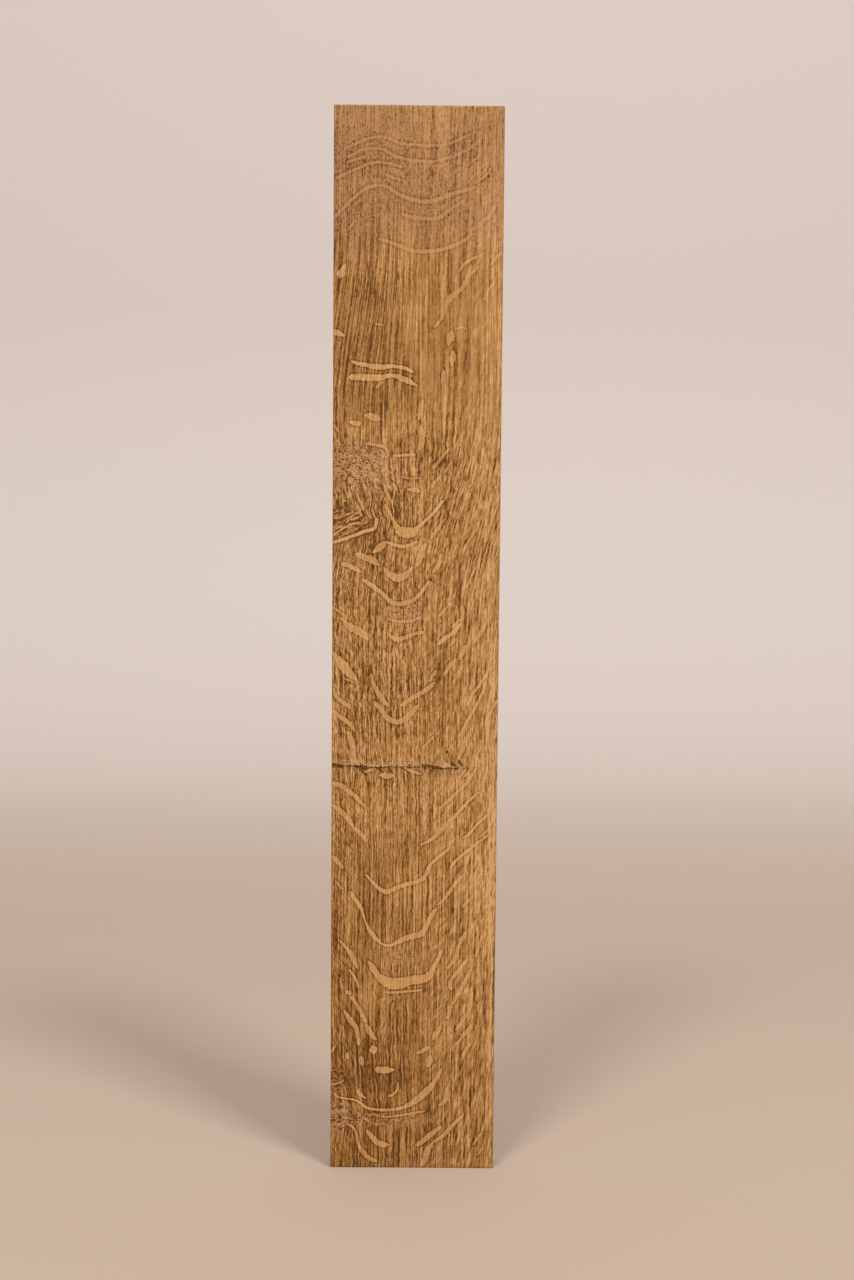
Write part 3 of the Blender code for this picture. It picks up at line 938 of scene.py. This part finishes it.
def lay_out_map(mesh, show_faces):
    """The map for baked colours, with the show face at about twice the scale of the rest."""
    count = read_numbers(mesh.polygons, "loop_total", 1, int)[:, 0]
    face = np.repeat(np.arange(len(count)), count)
    facing, over = (values[face] for values in facing_of_faces(mesh, show_faces))
    middle = read_numbers(mesh.polygons, "center", 3, float) / MM
    upper = (middle[:, UP] > LENGTH / 2)[face]
    corner_point = read_numbers(mesh.loops, "vertex_index", 1, int)[:, 0]
    points = read_numbers(mesh.vertices, "co", 3, float) / MM
    x, y, z = points[corner_point].T
    uv = np.zeros((len(face), 2))
    left = 0.0
    for axis, side, width in MAP_COLUMNS:
        mine = (facing == axis) & (over == side)
        share = (x / WIDTH if axis == THROUGH else y / THICK) + 0.5
        uv[mine, 0] = fit(share, left + width * upper, width)[mine]
        uv[mine, 1] = fit(z / (LENGTH / 2) - upper, 0.0, 1.0)[mine]
        left += 2 * width
    for side in (False, True):
        mine = (facing == UP) & (over == side)
        uv[mine, 0] = fit(y / THICK + 0.5, left, MAP_ENDS)[mine]
        uv[mine, 1] = fit(x / WIDTH + 0.5, side / 2, 0.5)[mine]
    mesh.uv_layers.new(name=MAP_NAME).data.foreach_set("uv", uv.astype(np.float32).ravel())


# The wood's material


class Graph:
    """A material's nodes, written as a chain of values."""

    def __init__(self, tree):
        self.tree = tree

    def node(self, kind, inputs=(), **settings):
        """A new node, with its settings and its inputs by name or number."""
        made = self.tree.nodes.new(kind)
        for name, value in settings.items():
            setattr(made, name, value)
        for name, value in dict(inputs).items():
            self.feed(made.inputs[name], value)
        return made

    def feed(self, socket, value):
        """Links a socket to another, or gives it a plain value."""
        if isinstance(value, bpy.types.NodeSocket):
            self.tree.links.new(value, socket)
        else:
            socket.default_value = value

    def math(self, operation, *values, clamp=False):
        """One step of arithmetic, by the name that Blender gives it."""
        made = self.node("ShaderNodeMath", dict(enumerate(values)), operation=operation, use_clamp=clamp)
        return made.outputs[0]

    def add(self, *values):
        """The sum of all the values."""
        return functools.reduce(lambda total, value: self.math("ADD", total, value), values)

    def times(self, *values):
        """The product of all the values."""
        return functools.reduce(lambda total, value: self.math("MULTIPLY", total, value), values)

    def less(self, a, b):
        """a less b."""
        return self.math("SUBTRACT", a, b)

    def inverse(self, share):
        """1 less the share."""
        return self.less(1.0, share)

    def swing(self, noise):
        """Noise that swings round 0, not round a half."""
        return self.less(noise, 0.5)

    def size(self, value):
        """The value without its sign."""
        return self.math("ABSOLUTE", value)

    def step(self, value, low, high):
        """0 below low, 1 above high, with a soft step between them."""
        inputs = {"Value": value, "From Min": low, "From Max": high}
        made = self.node("ShaderNodeMapRange", inputs, interpolation_type="SMOOTHSTEP")
        return made.outputs["Result"]

    def blend(self, share, a, b):
        """The number a where share is 0 and b where it is 1."""
        inputs = {"Factor": share, "A": a, "B": b}
        return self.node("ShaderNodeMix", inputs, data_type="FLOAT").outputs["Result"]

    def paint(self, share, a, b, blend_type="MIX"):
        """The colour a where share is 0, and b, or a multiplied by b, where it is 1."""
        made = self.node("ShaderNodeMix", data_type="RGBA", blend_type=blend_type)
        self.feed(made.inputs["Factor"], share)
        self.feed(made.inputs[6], a)
        self.feed(made.inputs[7], b)
        return made.outputs[2]

    def vector(self, x, y, z):
        """Three numbers as one vector."""
        return self.node("ShaderNodeCombineXYZ", {"X": x, "Y": y, "Z": z}).outputs[0]

    def split(self, vector):
        """A vector's three numbers."""
        made = self.node("ShaderNodeSeparateXYZ", {0: vector})
        return made.outputs[0], made.outputs[1], made.outputs[2]

    def attribute(self, name):
        """The three numbers that the mesh holds under a name at each place."""
        return self.split(self.node("ShaderNodeAttribute", attribute_name=name).outputs["Vector"])

    def number(self, name):
        """The one number that the mesh holds under a name at each place."""
        return self.node("ShaderNodeAttribute", attribute_name=name).outputs["Fac"]

    def noise(self, x, y, z, detail=2.0, rough=0.5, twist=0.0):
        """Soft noise about one unit wide, from 0 to 1."""
        inputs = {
            "Vector": self.vector(x, y, z),
            "Scale": 1.0,
            "Detail": detail,
            "Roughness": rough,
            "Distortion": twist,
        }
        return self.node("ShaderNodeTexNoise", inputs, noise_dimensions="3D").outputs["Fac"]

    def ramp(self, value, stops):
        """A colour from a list of places and colours."""
        made = self.node("ShaderNodeValToRGB", {"Fac": value})
        band = made.color_ramp.elements
        for place, colour in stops[1:-1]:
            band.new(place).color = colour
        band[0].position, band[0].color = stops[0][0], stops[0][1]
        band[len(band) - 1].position, band[len(band) - 1].color = stops[-1][0], stops[-1][1]
        return made.outputs["Color"]


def linear(red, green, blue):
    """A colour as a screen shows it, from 0 to 255, turned to the linear light that shaders use."""
    shares = [channel / 255 for channel in (red, green, blue)]
    return tuple(s / 12.92 if s <= 0.04045 else ((s + 0.055) / 1.055) ** 2.4 for s in shares) + (1.0,)


# Oak from its darkest pores to its palest wood
OAK_STOPS = (
    (0.0, linear(90, 51, 2)),
    (0.1, linear(114, 71, 12)),
    (0.25, linear(141, 94, 33)),
    (0.5, linear(167, 118, 62)),
    (0.75, linear(187, 136, 79)),
    (0.9, linear(201, 150, 94)),
    (1.0, linear(214, 165, 110)),
)
# Two that a colour is multiplied by
PINKER = (1.02, 0.965, 1.34, 1.0)
YELLOWER = (0.985, 1.02, 0.74, 1.0)
# The rest, as a screen shows them
PINK_TINT = linear(186, 140, 108)
# The tint painted on the long corners to darken them
EDGE_TINT = linear(140, 84, 52)
SPECK_COLOUR = linear(52, 26, 2)
CHECK_DEEP = linear(110, 64, 8)
# The colour of the check's dark line: darker wood and painted shade in the crack's groove
CHECK_DARK_AND_SHADE = linear(88, 44, 0)
CHECK_WEDGE = linear(88, 49, 0)
CHECK_CRUMBS = linear(222, 182, 140)
END_DARK = linear(112, 74, 42)
END_LIGHT = linear(184, 140, 92)
OAK_ROUGHNESS = 0.62
OAK_IOR = 1.45
OAK_SPECULAR = 0.35
BUMP_STRENGTH = 0.5
BUMP_DISTANCE = 0.00012

# Where the grain changes, in millimetres above the foot and from the left edge
LOW_HEIGHTS = (230.0, 330.0)
COMB_HEIGHTS = (540.0, 600.0)  # above these the grain is combed straight
TOP_HEIGHTS = (690.0, 735.0)
# Below this the wood darkens towards the foot, partly its own tone and partly painted shade
FOOT_TONE_AND_SHADE_HEIGHT = 130.0
RIGHT_REACH = (62.0, 108.0)
STEEP_REACH = (82.0, 96.0)
SLIVERS_RIGHT = (62.0, 88.0)
SLIVERS_LEFT = (10.0, 36.0)
PALE_STRIP = 123.0  # the middle of a pale strip by the right edge, and its heights
PALE_STRIP_HEIGHTS = (340.0, 240.0)


class Wood(Graph):
    """The oak's nodes, with the places, the mesh's fields and the noises that several of its looks share."""

    def __init__(self, tree):
        super().__init__(tree)
        place = self.node("ShaderNodeTexCoord").outputs["Object"]
        self.x, self.y, self.z = (self.times(value, 1.0 / MM) for value in self.split(place))
        self.u = self.add(self.x, WIDTH / 2)
        self.ring, self.ray, self.along = self.attribute("flow")
        self.pink, self.dark, self.speckled = self.attribute("zones")
        self.edge, self.end, self.back = self.attribute("sides")
        self.check_away, self.check_open, self.wavy = self.attribute("split")
        self.across, self.thick, signed = self.attribute("figure")
        self.strength = self.size(signed)
        self.pore = self.math("LESS_THAN", signed, 0.0)
        self.wild = self.math("MAXIMUM", self.math("MAXIMUM", self.pink, self.dark), self.speckled)
        self.comb = self.step(self.z, *COMB_HEIGHTS)
        self.low = self.inverse(self.step(self.z, *LOW_HEIGHTS))
        self.top = self.step(self.z, *TOP_HEIGHTS)
        self.right = self.step(self.u, *RIGHT_REACH)
        self.sway_rings()
        self.threads = self.grain(self.ring, 1.1, 0.1, 0.03, shift=40.0)
        self.fibres = self.grain(self.ring, 3.0, 1.0, 0.2, detail=2.0)
        self.grit = self.grain(self.x, 1.0, 0.9, 0.55)
        self.speckles = self.grain(self.x, 1.1, 0.8, 0.6)
        self.clouds = self.grain(self.x, 0.035, 0.03, 0.011, detail=2.0)
        self.swirls = self.knot_swirls()
        self.mottled = self.mottled_grain()

    def grain(self, over, scale, deep, high, shift=0.0, detail=1.0):
        """Noise over x or the rings, the depth and the height, each by its scale. Shift picks another."""
        depth = self.times(self.y, deep)
        if shift:
            depth = self.add(depth, shift)
        return self.noise(self.times(over, scale), depth, self.times(self.z, high), detail=detail)

    def sway_rings(self):
        """Lets the rings sway, most at the knots, and waver in the wavy patches."""
        sway = self.swing(self.grain(self.x, 0.11, 0.1, 0.13))
        waver = self.swing(self.grain(self.x, 0.03, 0.1, 0.1, shift=5.0))
        knot = self.math("MAXIMUM", self.pink, self.dark)
        push = self.add(self.blend(self.comb, 2.2, 1.0), self.times(knot, 7.0))
        self.ring = self.add(self.ring, self.times(sway, push), self.times(waver, self.wavy, 9.0))

    def knot_swirls(self):
        """The curls of the wild grain by the knots."""
        bend = self.grain(self.x, 0.07, 0.1, 0.07)
        return self.noise(
            self.add(self.times(self.x, 0.55), self.times(bend, 7.0)),
            self.add(self.times(self.y, 0.5), self.times(self.low, 31.0)),
            self.add(self.times(self.z, 1.05), self.times(bend, -6.0)),
            detail=1.0,
            rough=0.6,
            twist=1.0,
        )

    def mottled_grain(self):
        """The short dashes of the plain wood, and the curls and torn streaks of the wild grain."""
        dashes = self.grain(self.ring, 0.85, 0.2, 0.15, shift=90.0)
        climb = self.times(self.less(self.times(self.z, 0.93), self.times(self.x, 0.37)), 0.8)
        depth, along = self.times(self.y, 0.5), self.times(self.x, 0.19)
        streaks = self.noise(climb, depth, along, detail=2.0, rough=0.6, twist=0.6)
        curls = self.blend(self.step(self.swirls, 0.36, 0.6), 0.2, 0.95)
        knotted = self.blend(self.step(self.dark, 0.1, 0.5), curls, self.step(streaks, 0.4, 0.58))
        return self.blend(self.times(self.wild, 0.95), self.step(dashes, 0.38, 0.6), knotted)


def fine_grain(g):
    """How much each place is lighter or darker than the wood round it by its grain."""
    lines = g.grain(g.ring, 0.68, 0.1, 0.012)
    line_weight = g.blend(g.wild, g.blend(g.comb, g.blend(g.low, 0.4, 0.52), 0.62), 0.1)
    dash_weight = g.blend(g.comb, g.blend(g.low, g.blend(g.right, 0.48, 0.36), 0.27), 0.24)
    grit_weight = g.add(g.blend(g.wild, g.blend(g.low, 0.27, 0.2), 0.14), g.times(g.pink, 0.36))
    return g.add(
        g.times(g.swing(g.step(lines, 0.38, 0.62)), line_weight),
        g.times(g.swing(g.step(g.threads, 0.36, 0.6)), g.blend(g.wild, 0.42, 0.2)),
        g.times(g.swing(g.mottled), g.blend(g.wild, dash_weight, 1.1)),
        g.times(g.swing(g.fibres), 0.4),
        g.times(g.swing(g.step(g.grit, 0.36, 0.64)), grit_weight),
    )


def grain_contrast(g):
    """How strongly the grain shows at each place."""
    return g.times(
        g.blend(g.right, 1.0, 0.82),
        g.blend(g.top, g.blend(g.comb, 1.04, 0.8), 0.57),
        g.blend(g.clouds, 0.7, 1.3),
        g.blend(g.wavy, 1.0, 1.3),
        g.blend(g.number("calm"), 1.0, 0.82),
        g.blend(g.times(g.top, g.right), 1.0, 1.2),
    )


def ray_slivers(g):
    """The pale slivers of rays by the left and right edges, and the darker wood between them."""
    depth = g.times(g.y, 0.1)
    flat = g.noise(g.times(g.ray, 0.3), g.times(g.along, 0.07), depth, detail=1.0)
    steep = g.noise(g.times(g.ray, 0.13), g.times(g.along, 0.11), g.add(depth, 20.0), detail=1.0)
    slivers = g.blend(g.step(g.u, *STEEP_REACH), flat, steep)
    sides = g.math("MAXIMUM", g.step(g.u, *SLIVERS_RIGHT), g.inverse(g.step(g.u, *SLIVERS_LEFT)))
    pale = g.times(g.step(slivers, 0.55, 0.64), g.blend(g.right, 0.16, 0.34))
    dark = g.times(g.inverse(g.step(slivers, 0.36, 0.45)), g.blend(g.right, 0.1, 0.3))
    return g.times(g.less(pale, dark), sides, g.inverse(g.wild), g.blend(g.comb, 1.0, 0.35))


def plain_tone(g):
    """The tone without the flecks, from 0 for the darkest pores to 1 for the palest wood."""
    bands = g.grain(g.x, 0.02, 0.03, 0.055)
    pale_strip = g.step(g.size(g.less(g.u, PALE_STRIP)), 3.0, 1.0)
    return g.add(
        0.47,
        g.times(fine_grain(g), grain_contrast(g)),
        g.number("shade"),
        ray_slivers(g),
        g.times(g.swing(g.step(g.speckles, 0.36, 0.64)), g.top, 0.16),
        g.times(g.swing(g.clouds), 0.3),
        g.times(g.swing(bands), 0.3),
        g.times(g.less(g.u, 64.0), 0.0014),
        g.times(g.dark, -0.08),
        g.times(g.pink, -0.06),
        # Darker towards the foot: partly the wood's tone, partly painted shade
        g.times(g.step(g.z, FOOT_TONE_AND_SHADE_HEIGHT, 0.0), -0.14),
        g.times(pale_strip, g.step(g.z, *PALE_STRIP_HEIGHTS), 0.26),
    )


def fleck_depth(g):
    """How far each place lies inside a fleck's ragged edge, in millimetres, and below 0 outside it."""
    ragged = g.grain(g.x, 0.7, 0.9, 0.5, detail=2.0)
    inner = g.add(
        g.less(g.times(g.thick, 0.5), g.size(g.across)),
        g.times(g.swing(ragged), g.math("MINIMUM", g.thick, 3.6), 0.55),
        g.times(g.swing(g.threads), g.math("MINIMUM", g.thick, 4.0), 0.45),
        0.26,
    )
    return g.times(inner, g.blend(g.top, 1.0, 0.5))


def add_flecks(g, tone):
    """The tone with the flecks on it, each darker round its edge, and how much a fleck covers each place."""
    inner = fleck_depth(g)
    fleck = g.times(g.step(inner, -0.25, 0.3), g.blend(g.strength, 0.35, 1.0), g.blend(g.top, 1.0, 0.8))
    round_edge = g.times(g.step(inner, -1.7, -0.5), g.inverse(g.step(inner, -0.4, 0.1)))
    rim = g.times(round_edge, g.strength, g.inverse(g.pore))
    silk = g.add(
        g.blend(g.strength, 0.74, 0.9),
        g.times(g.right, 0.06),
        g.times(g.inverse(g.step(g.thick, 1.8, 3.4)), g.inverse(g.top), 0.09),
        g.times(g.swing(g.fibres), 0.55),
        g.times(g.swing(g.threads), 0.65),
        g.times(g.swing(g.grit), 0.55),
    )
    tone = g.add(tone, g.times(rim, -0.3))
    return g.blend(g.times(fleck, 0.94), tone, g.blend(g.pore, silk, 0.04)), fleck


def tint(g, colour):
    """Turns streaks a little pinker or yellower, and lays a pale pinkish meal on the wild grain."""
    hue = g.grain(g.ring, 0.8, 0.2, 0.14, shift=150.0, detail=2.0)
    colour = g.paint(g.step(hue, 0.5, 0.68), colour, PINKER, "MULTIPLY")
    colour = g.paint(g.step(hue, 0.5, 0.32), colour, YELLOWER, "MULTIPLY")
    mealy = g.times(g.step(g.swirls, 0.42, 0.6), g.blend(g.step(g.grit, 0.38, 0.6), 0.3, 0.6))
    pale = g.add(
        g.times(g.pink, mealy),
        g.times(g.top, g.step(g.speckles, 0.36, 0.6), 0.36),
        g.times(g.speckled, g.inverse(g.top), g.inverse(g.pink), mealy, 0.6),
    )
    return g.paint(pale, colour, PINK_TINT)


def check_sides(g):
    """The marks beside the check: dark and pale crumbs of its torn lip, and dark tails under it."""
    away = g.check_away
    crumbs = g.noise(g.add(g.times(g.x, 0.7), g.times(away, 0.3)), 4.0, g.times(away, 0.8), detail=1.0)
    tails = g.noise(g.times(g.x, 0.42), 6.0, g.times(away, 0.1), detail=1.0)
    over = g.times(g.step(away, -0.4, 1.0), g.inverse(g.step(away, 3.0, 6.5)), g.check_open)
    under = g.times(g.inverse(g.step(away, -1.4, 0.0)), g.step(away, -7.0, -3.0), g.check_open)
    deep = g.add(
        g.times(over, g.inverse(g.step(crumbs, 0.38, 0.46)), 0.6),
        g.times(under, g.step(tails, 0.47, 0.58), 0.75),
    )
    return deep, g.times(g.add(over, g.times(under, 0.3)), g.step(crumbs, 0.52, 0.6), 0.85)


def check_dark_and_shade_line(g):
    """The check's dark line, darker wood with painted shade of the groove, which wanders, swells and breaks,
    and is faint in the middle.
    """
    away = g.check_away
    torn = g.noise(g.times(g.x, 0.4), 0.0, g.times(away, 0.3), detail=3.0, rough=0.65)
    swell = g.noise(g.times(g.x, 0.16), 9.0, 0.0, detail=2.0, rough=0.6)
    pieces = g.noise(g.times(g.x, 0.24), 13.0, g.times(away, 0.1), detail=2.0, rough=0.6)
    half = g.blend(g.step(swell, 0.4, 0.58), 0.8, 2.3)
    wander = g.add(away, g.times(g.swing(torn), 5.0))
    near = g.inverse(g.step(g.size(wander), g.times(half, 0.5), half))
    faint = g.step(g.size(g.less(g.x, CHECK_FAINT - WIDTH / 2)), 24.0, 10.0)
    broken = g.blend(g.step(pieces, 0.4, 0.54), 0.3, 0.95)
    return g.times(near, g.check_open, broken, g.blend(faint, 1.0, 0.45))


def paint_check(g, colour, fleck):
    """The check: a broken dark line, partly painted shade in its groove, with a pale torn lip over it, and
    dark wedges of pores beside it.
    """
    clear = g.inverse(g.times(fleck, g.inverse(g.pore), 0.75))
    deep, pale = check_sides(g)
    colour = g.paint(g.times(deep, clear), colour, CHECK_DEEP)
    # The dark line along the check, partly painted shade in its groove
    colour = g.paint(g.times(check_dark_and_shade_line(g), g.blend(clear, 0.6, 1.0)), colour, CHECK_DARK_AND_SHADE)
    colour = g.paint(pale, colour, CHECK_CRUMBS)
    near = g.times(g.step(g.size(g.check_away), 10.0, 8.0), g.step(g.check_open, 0.02, 0.1))
    return g.paint(g.times(g.pore, fleck, near, 0.85), colour, CHECK_WEDGE)


def paint_specks(g, colour):
    """Pinholes and small dark specks on the show face."""
    total = 0.0
    for at_u, at_z, radius in SPECKS:
        aside, above = (g.math("POWER", g.less(*pair), 2.0) for pair in ((g.u, at_u), (g.z, at_z)))
        away = g.math("SQRT", g.add(aside, above))
        total = g.math("MAXIMUM", total, g.inverse(g.step(away, 0.7 * radius, 1.3 * radius)))
    return g.paint(g.times(total, g.inverse(g.back), 0.9), colour, SPECK_COLOUR)


def paint_edges(g, colour):
    """The two edge faces: plain long grain with the short dark ends of rays. Their corners are painted
    darker.
    """
    wave = g.noise(g.times(g.y, 0.42), g.times(g.ring, 0.1), g.times(g.z, 0.007), detail=3.0, rough=0.55)
    ray_ends = g.noise(g.times(g.y, 2.4), g.times(g.ring, 0.3), g.times(g.z, 0.11), detail=1.0)
    pores = g.noise(g.times(g.y, 3.0), g.times(g.ring, 0.5), g.times(g.z, 0.2), detail=1.0)
    tone = g.add(
        0.44,
        g.times(g.swing(wave), 2.0),
        g.times(g.step(ray_ends, 0.58, 0.66), -0.32),
        g.times(g.swing(pores), 0.6),
    )
    colour = g.paint(g.step(g.edge, 0.55, 1.0), colour, g.ramp(tone, OAK_STOPS))
    # A darker band painted along the long corners
    dark_corner_band = g.times(g.step(g.edge, 0.05, 0.4), g.inverse(g.step(g.edge, 0.6, 0.98)))
    return g.paint(g.times(dark_corner_band, 0.55), colour, EDGE_TINT)


def paint_ends(g, colour):
    """The sawn ends: rings of pores crossed by pale rays, with saw marks. Also gives the marks' height."""
    turn = g.math("ARCTAN2", g.less(g.y, PITH_Y), g.less(g.x, PITH_X))
    sway = g.noise(g.times(g.x, 0.06), g.times(g.y, 0.06), 0.0, detail=1.0)
    share = g.math("FRACT", g.add(g.times(g.ring, 0.25), g.times(sway, 0.9)))
    early = g.inverse(g.step(share, 0.18, 0.5))
    pores = g.noise(g.times(g.x, 2.6), g.times(g.y, 2.6), 3.0, detail=1.0)
    rays = g.noise(g.times(turn, 240.0, 1.3), g.times(g.ring, 0.05), 7.0, detail=1.0)
    saw = g.noise(g.times(g.y, 1.6), g.times(g.x, 0.03), g.times(g.z, 0.001), detail=2.0)
    tone = g.add(
        0.62,
        g.times(early, g.step(pores, 0.42, 0.56), -0.55),
        g.times(g.swing(pores), 0.5),
        g.times(g.step(rays, 0.56, 0.64), 0.4),
        g.times(g.swing(saw), 0.7),
    )
    painted = g.paint(g.math("ADD", tone, 0.0, clamp=True), END_DARK, END_LIGHT)
    return g.paint(g.step(g.end, 0.4, 0.9), colour, painted), g.times(saw, 2.0)


def oak_material():
    """Quarter-sawn oak: rings, pores, rays, wild grain by the knots, the check and the sawn ends."""
    made = bpy.data.materials.new("oak_figure")
    made.use_nodes = True
    shader = made.node_tree.nodes["Principled BSDF"]
    g = Wood(made.node_tree)
    tone, fleck = add_flecks(g, plain_tone(g))
    colour = tint(g, g.ramp(tone, OAK_STOPS))
    colour = paint_check(g, colour, fleck)
    colour = paint_specks(g, colour)
    colour, end_height = paint_ends(g, colour)
    g.feed(shader.inputs["Base Color"], paint_edges(g, colour))
    groove = g.times(g.check_open, g.step(g.size(g.check_away), 3.0, 1.5))
    rough = g.add(
        OAK_ROUGHNESS,
        g.times(fleck, -0.12),
        g.times(g.swing(g.mottled), -0.08),
        g.times(g.end, 0.2),
        g.times(groove, 0.38),
    )
    g.feed(shader.inputs["Roughness"], rough)
    shader.inputs["IOR"].default_value = OAK_IOR
    shader.inputs["Specular IOR Level"].default_value = OAK_SPECULAR
    height = g.add(
        g.times(g.mottled, 0.6),
        g.times(g.fibres, 0.4),
        g.times(fleck, g.blend(g.pore, 0.25, -1.0)),
        g.times(end_height, g.end),
    )
    bump = g.node("ShaderNodeBump", {"Strength": BUMP_STRENGTH, "Distance": BUMP_DISTANCE, "Height": height})
    g.feed(shader.inputs["Normal"], bump.outputs["Normal"])
    return made


# The floor, the lights and the camera

FLOOR_COLOUR = linear(184, 164, 148)
BACKDROP_COLOUR = linear(219, 207, 201)
FLOOR_REACH = 4.0
SWEEP_START = 1.5  # behind the board, where the floor begins to rise into the backdrop
SWEEP_RADIUS = 0.9
BACKDROP_HEIGHT = 4.0
SWEEP_POINTS = 24
FLOOR_ROUGHNESS = 0.9
FLOOR_SPECULAR = 0.2
LIGHTS = (("front_right", 40, 84), ("front_left", -25, 68))  # name, azimuth and energy
LIGHT_ELEVATION = 56
LIGHT_DISTANCE = 4.2
LIGHT_SIZE = 0.8
LIGHT_COLOUR = (1.0, 1.0, 0.97)
SURROUND_COLOUR = (1.0, 0.985, 0.965, 1.0)
SURROUND_STRENGTH = 0.6


def make_floor():
    """A plain pale floor that rises into a backdrop in one round sweep."""
    profile = [(-FLOOR_REACH, 0.0)]
    for i in range(SWEEP_POINTS + 1):
        turn = math.pi / 2 * i / SWEEP_POINTS
        profile.append((SWEEP_START + SWEEP_RADIUS * math.sin(turn), SWEEP_RADIUS * (1 - math.cos(turn))))
    profile.append((SWEEP_START + SWEEP_RADIUS, BACKDROP_HEIGHT))
    points = [(side * FLOOR_REACH, y, z) for y, z in profile for side in (-1, 1)]
    faces = [(2 * i, 2 * i + 1, 2 * i + 3, 2 * i + 2) for i in range(len(profile) - 1)]
    mesh = bpy.data.meshes.new("floor")
    mesh.from_pydata(points, [], faces)
    mesh.shade_smooth()
    material = bpy.data.materials.new("floor")
    material.use_nodes = True
    shader = material.node_tree.nodes["Principled BSDF"]
    g = Graph(material.node_tree)
    depth = g.split(g.node("ShaderNodeTexCoord").outputs["Object"])[1]
    behind = g.step(depth, SWEEP_START - SWEEP_RADIUS, SWEEP_START + SWEEP_RADIUS)
    g.feed(shader.inputs["Base Color"], g.paint(behind, FLOOR_COLOUR, BACKDROP_COLOUR))
    shader.inputs["Roughness"].default_value = FLOOR_ROUGHNESS
    shader.inputs["Specular IOR Level"].default_value = FLOOR_SPECULAR
    mesh.materials.append(material)
    floor = bpy.data.objects.new("floor", mesh)
    bpy.context.scene.collection.objects.link(floor)


def add_light(name, azimuth, energy):
    """A soft square light that looks at the board's middle. Azimuth 0 is straight in front."""
    turn, lift = math.radians(azimuth), math.radians(LIGHT_ELEVATION)
    target = Vector((0.0, 0.0, LENGTH * MM / 2))
    away = Vector((math.sin(turn) * math.cos(lift), -math.cos(turn) * math.cos(lift), math.sin(lift)))
    light = bpy.data.lights.new(name, "AREA")
    light.shape = "SQUARE"
    light.size = LIGHT_SIZE
    light.energy = energy
    light.color = LIGHT_COLOUR
    holder = bpy.data.objects.new(name, light)
    holder.location = target + away * LIGHT_DISTANCE
    holder.rotation_mode = "QUATERNION"
    holder.rotation_quaternion = away.to_track_quat("Z", "Y")
    bpy.context.scene.collection.objects.link(holder)


def light_scene():
    """Two soft lights high in front, and a pale surround."""
    for name, azimuth, energy in LIGHTS:
        add_light(name, azimuth, energy)
    world = bpy.data.worlds.new("surround")
    world.use_nodes = True
    background = world.node_tree.nodes["Background"]
    background.inputs["Color"].default_value = SURROUND_COLOUR
    background.inputs["Strength"].default_value = SURROUND_STRENGTH
    bpy.context.scene.world = world
    bpy.context.scene.view_settings.view_transform = "Standard"


def make_camera():
    """A camera where the photographer stood."""
    data = bpy.data.cameras.new("camera")
    data.lens = CAMERA_LENS
    data.sensor_width = CAMERA_SENSOR
    turn = (
        Matrix.Rotation(math.radians(CAMERA_YAW), 4, "Z")
        @ Matrix.Rotation(math.radians(CAMERA_PITCH), 4, "X")
        @ Matrix.Rotation(math.radians(CAMERA_ROLL), 4, "Y")
        @ Matrix.Rotation(math.radians(90), 4, "X")
    )
    camera = bpy.data.objects.new("camera", data)
    camera.matrix_world = Matrix.Translation(CAMERA_PLACE) @ turn
    bpy.context.scene.collection.objects.link(camera)
    bpy.context.scene.camera = camera


make_camera()
light_scene()
make_floor()
board = make_board(oak_material())
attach(board, "root")
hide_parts("oak_board")
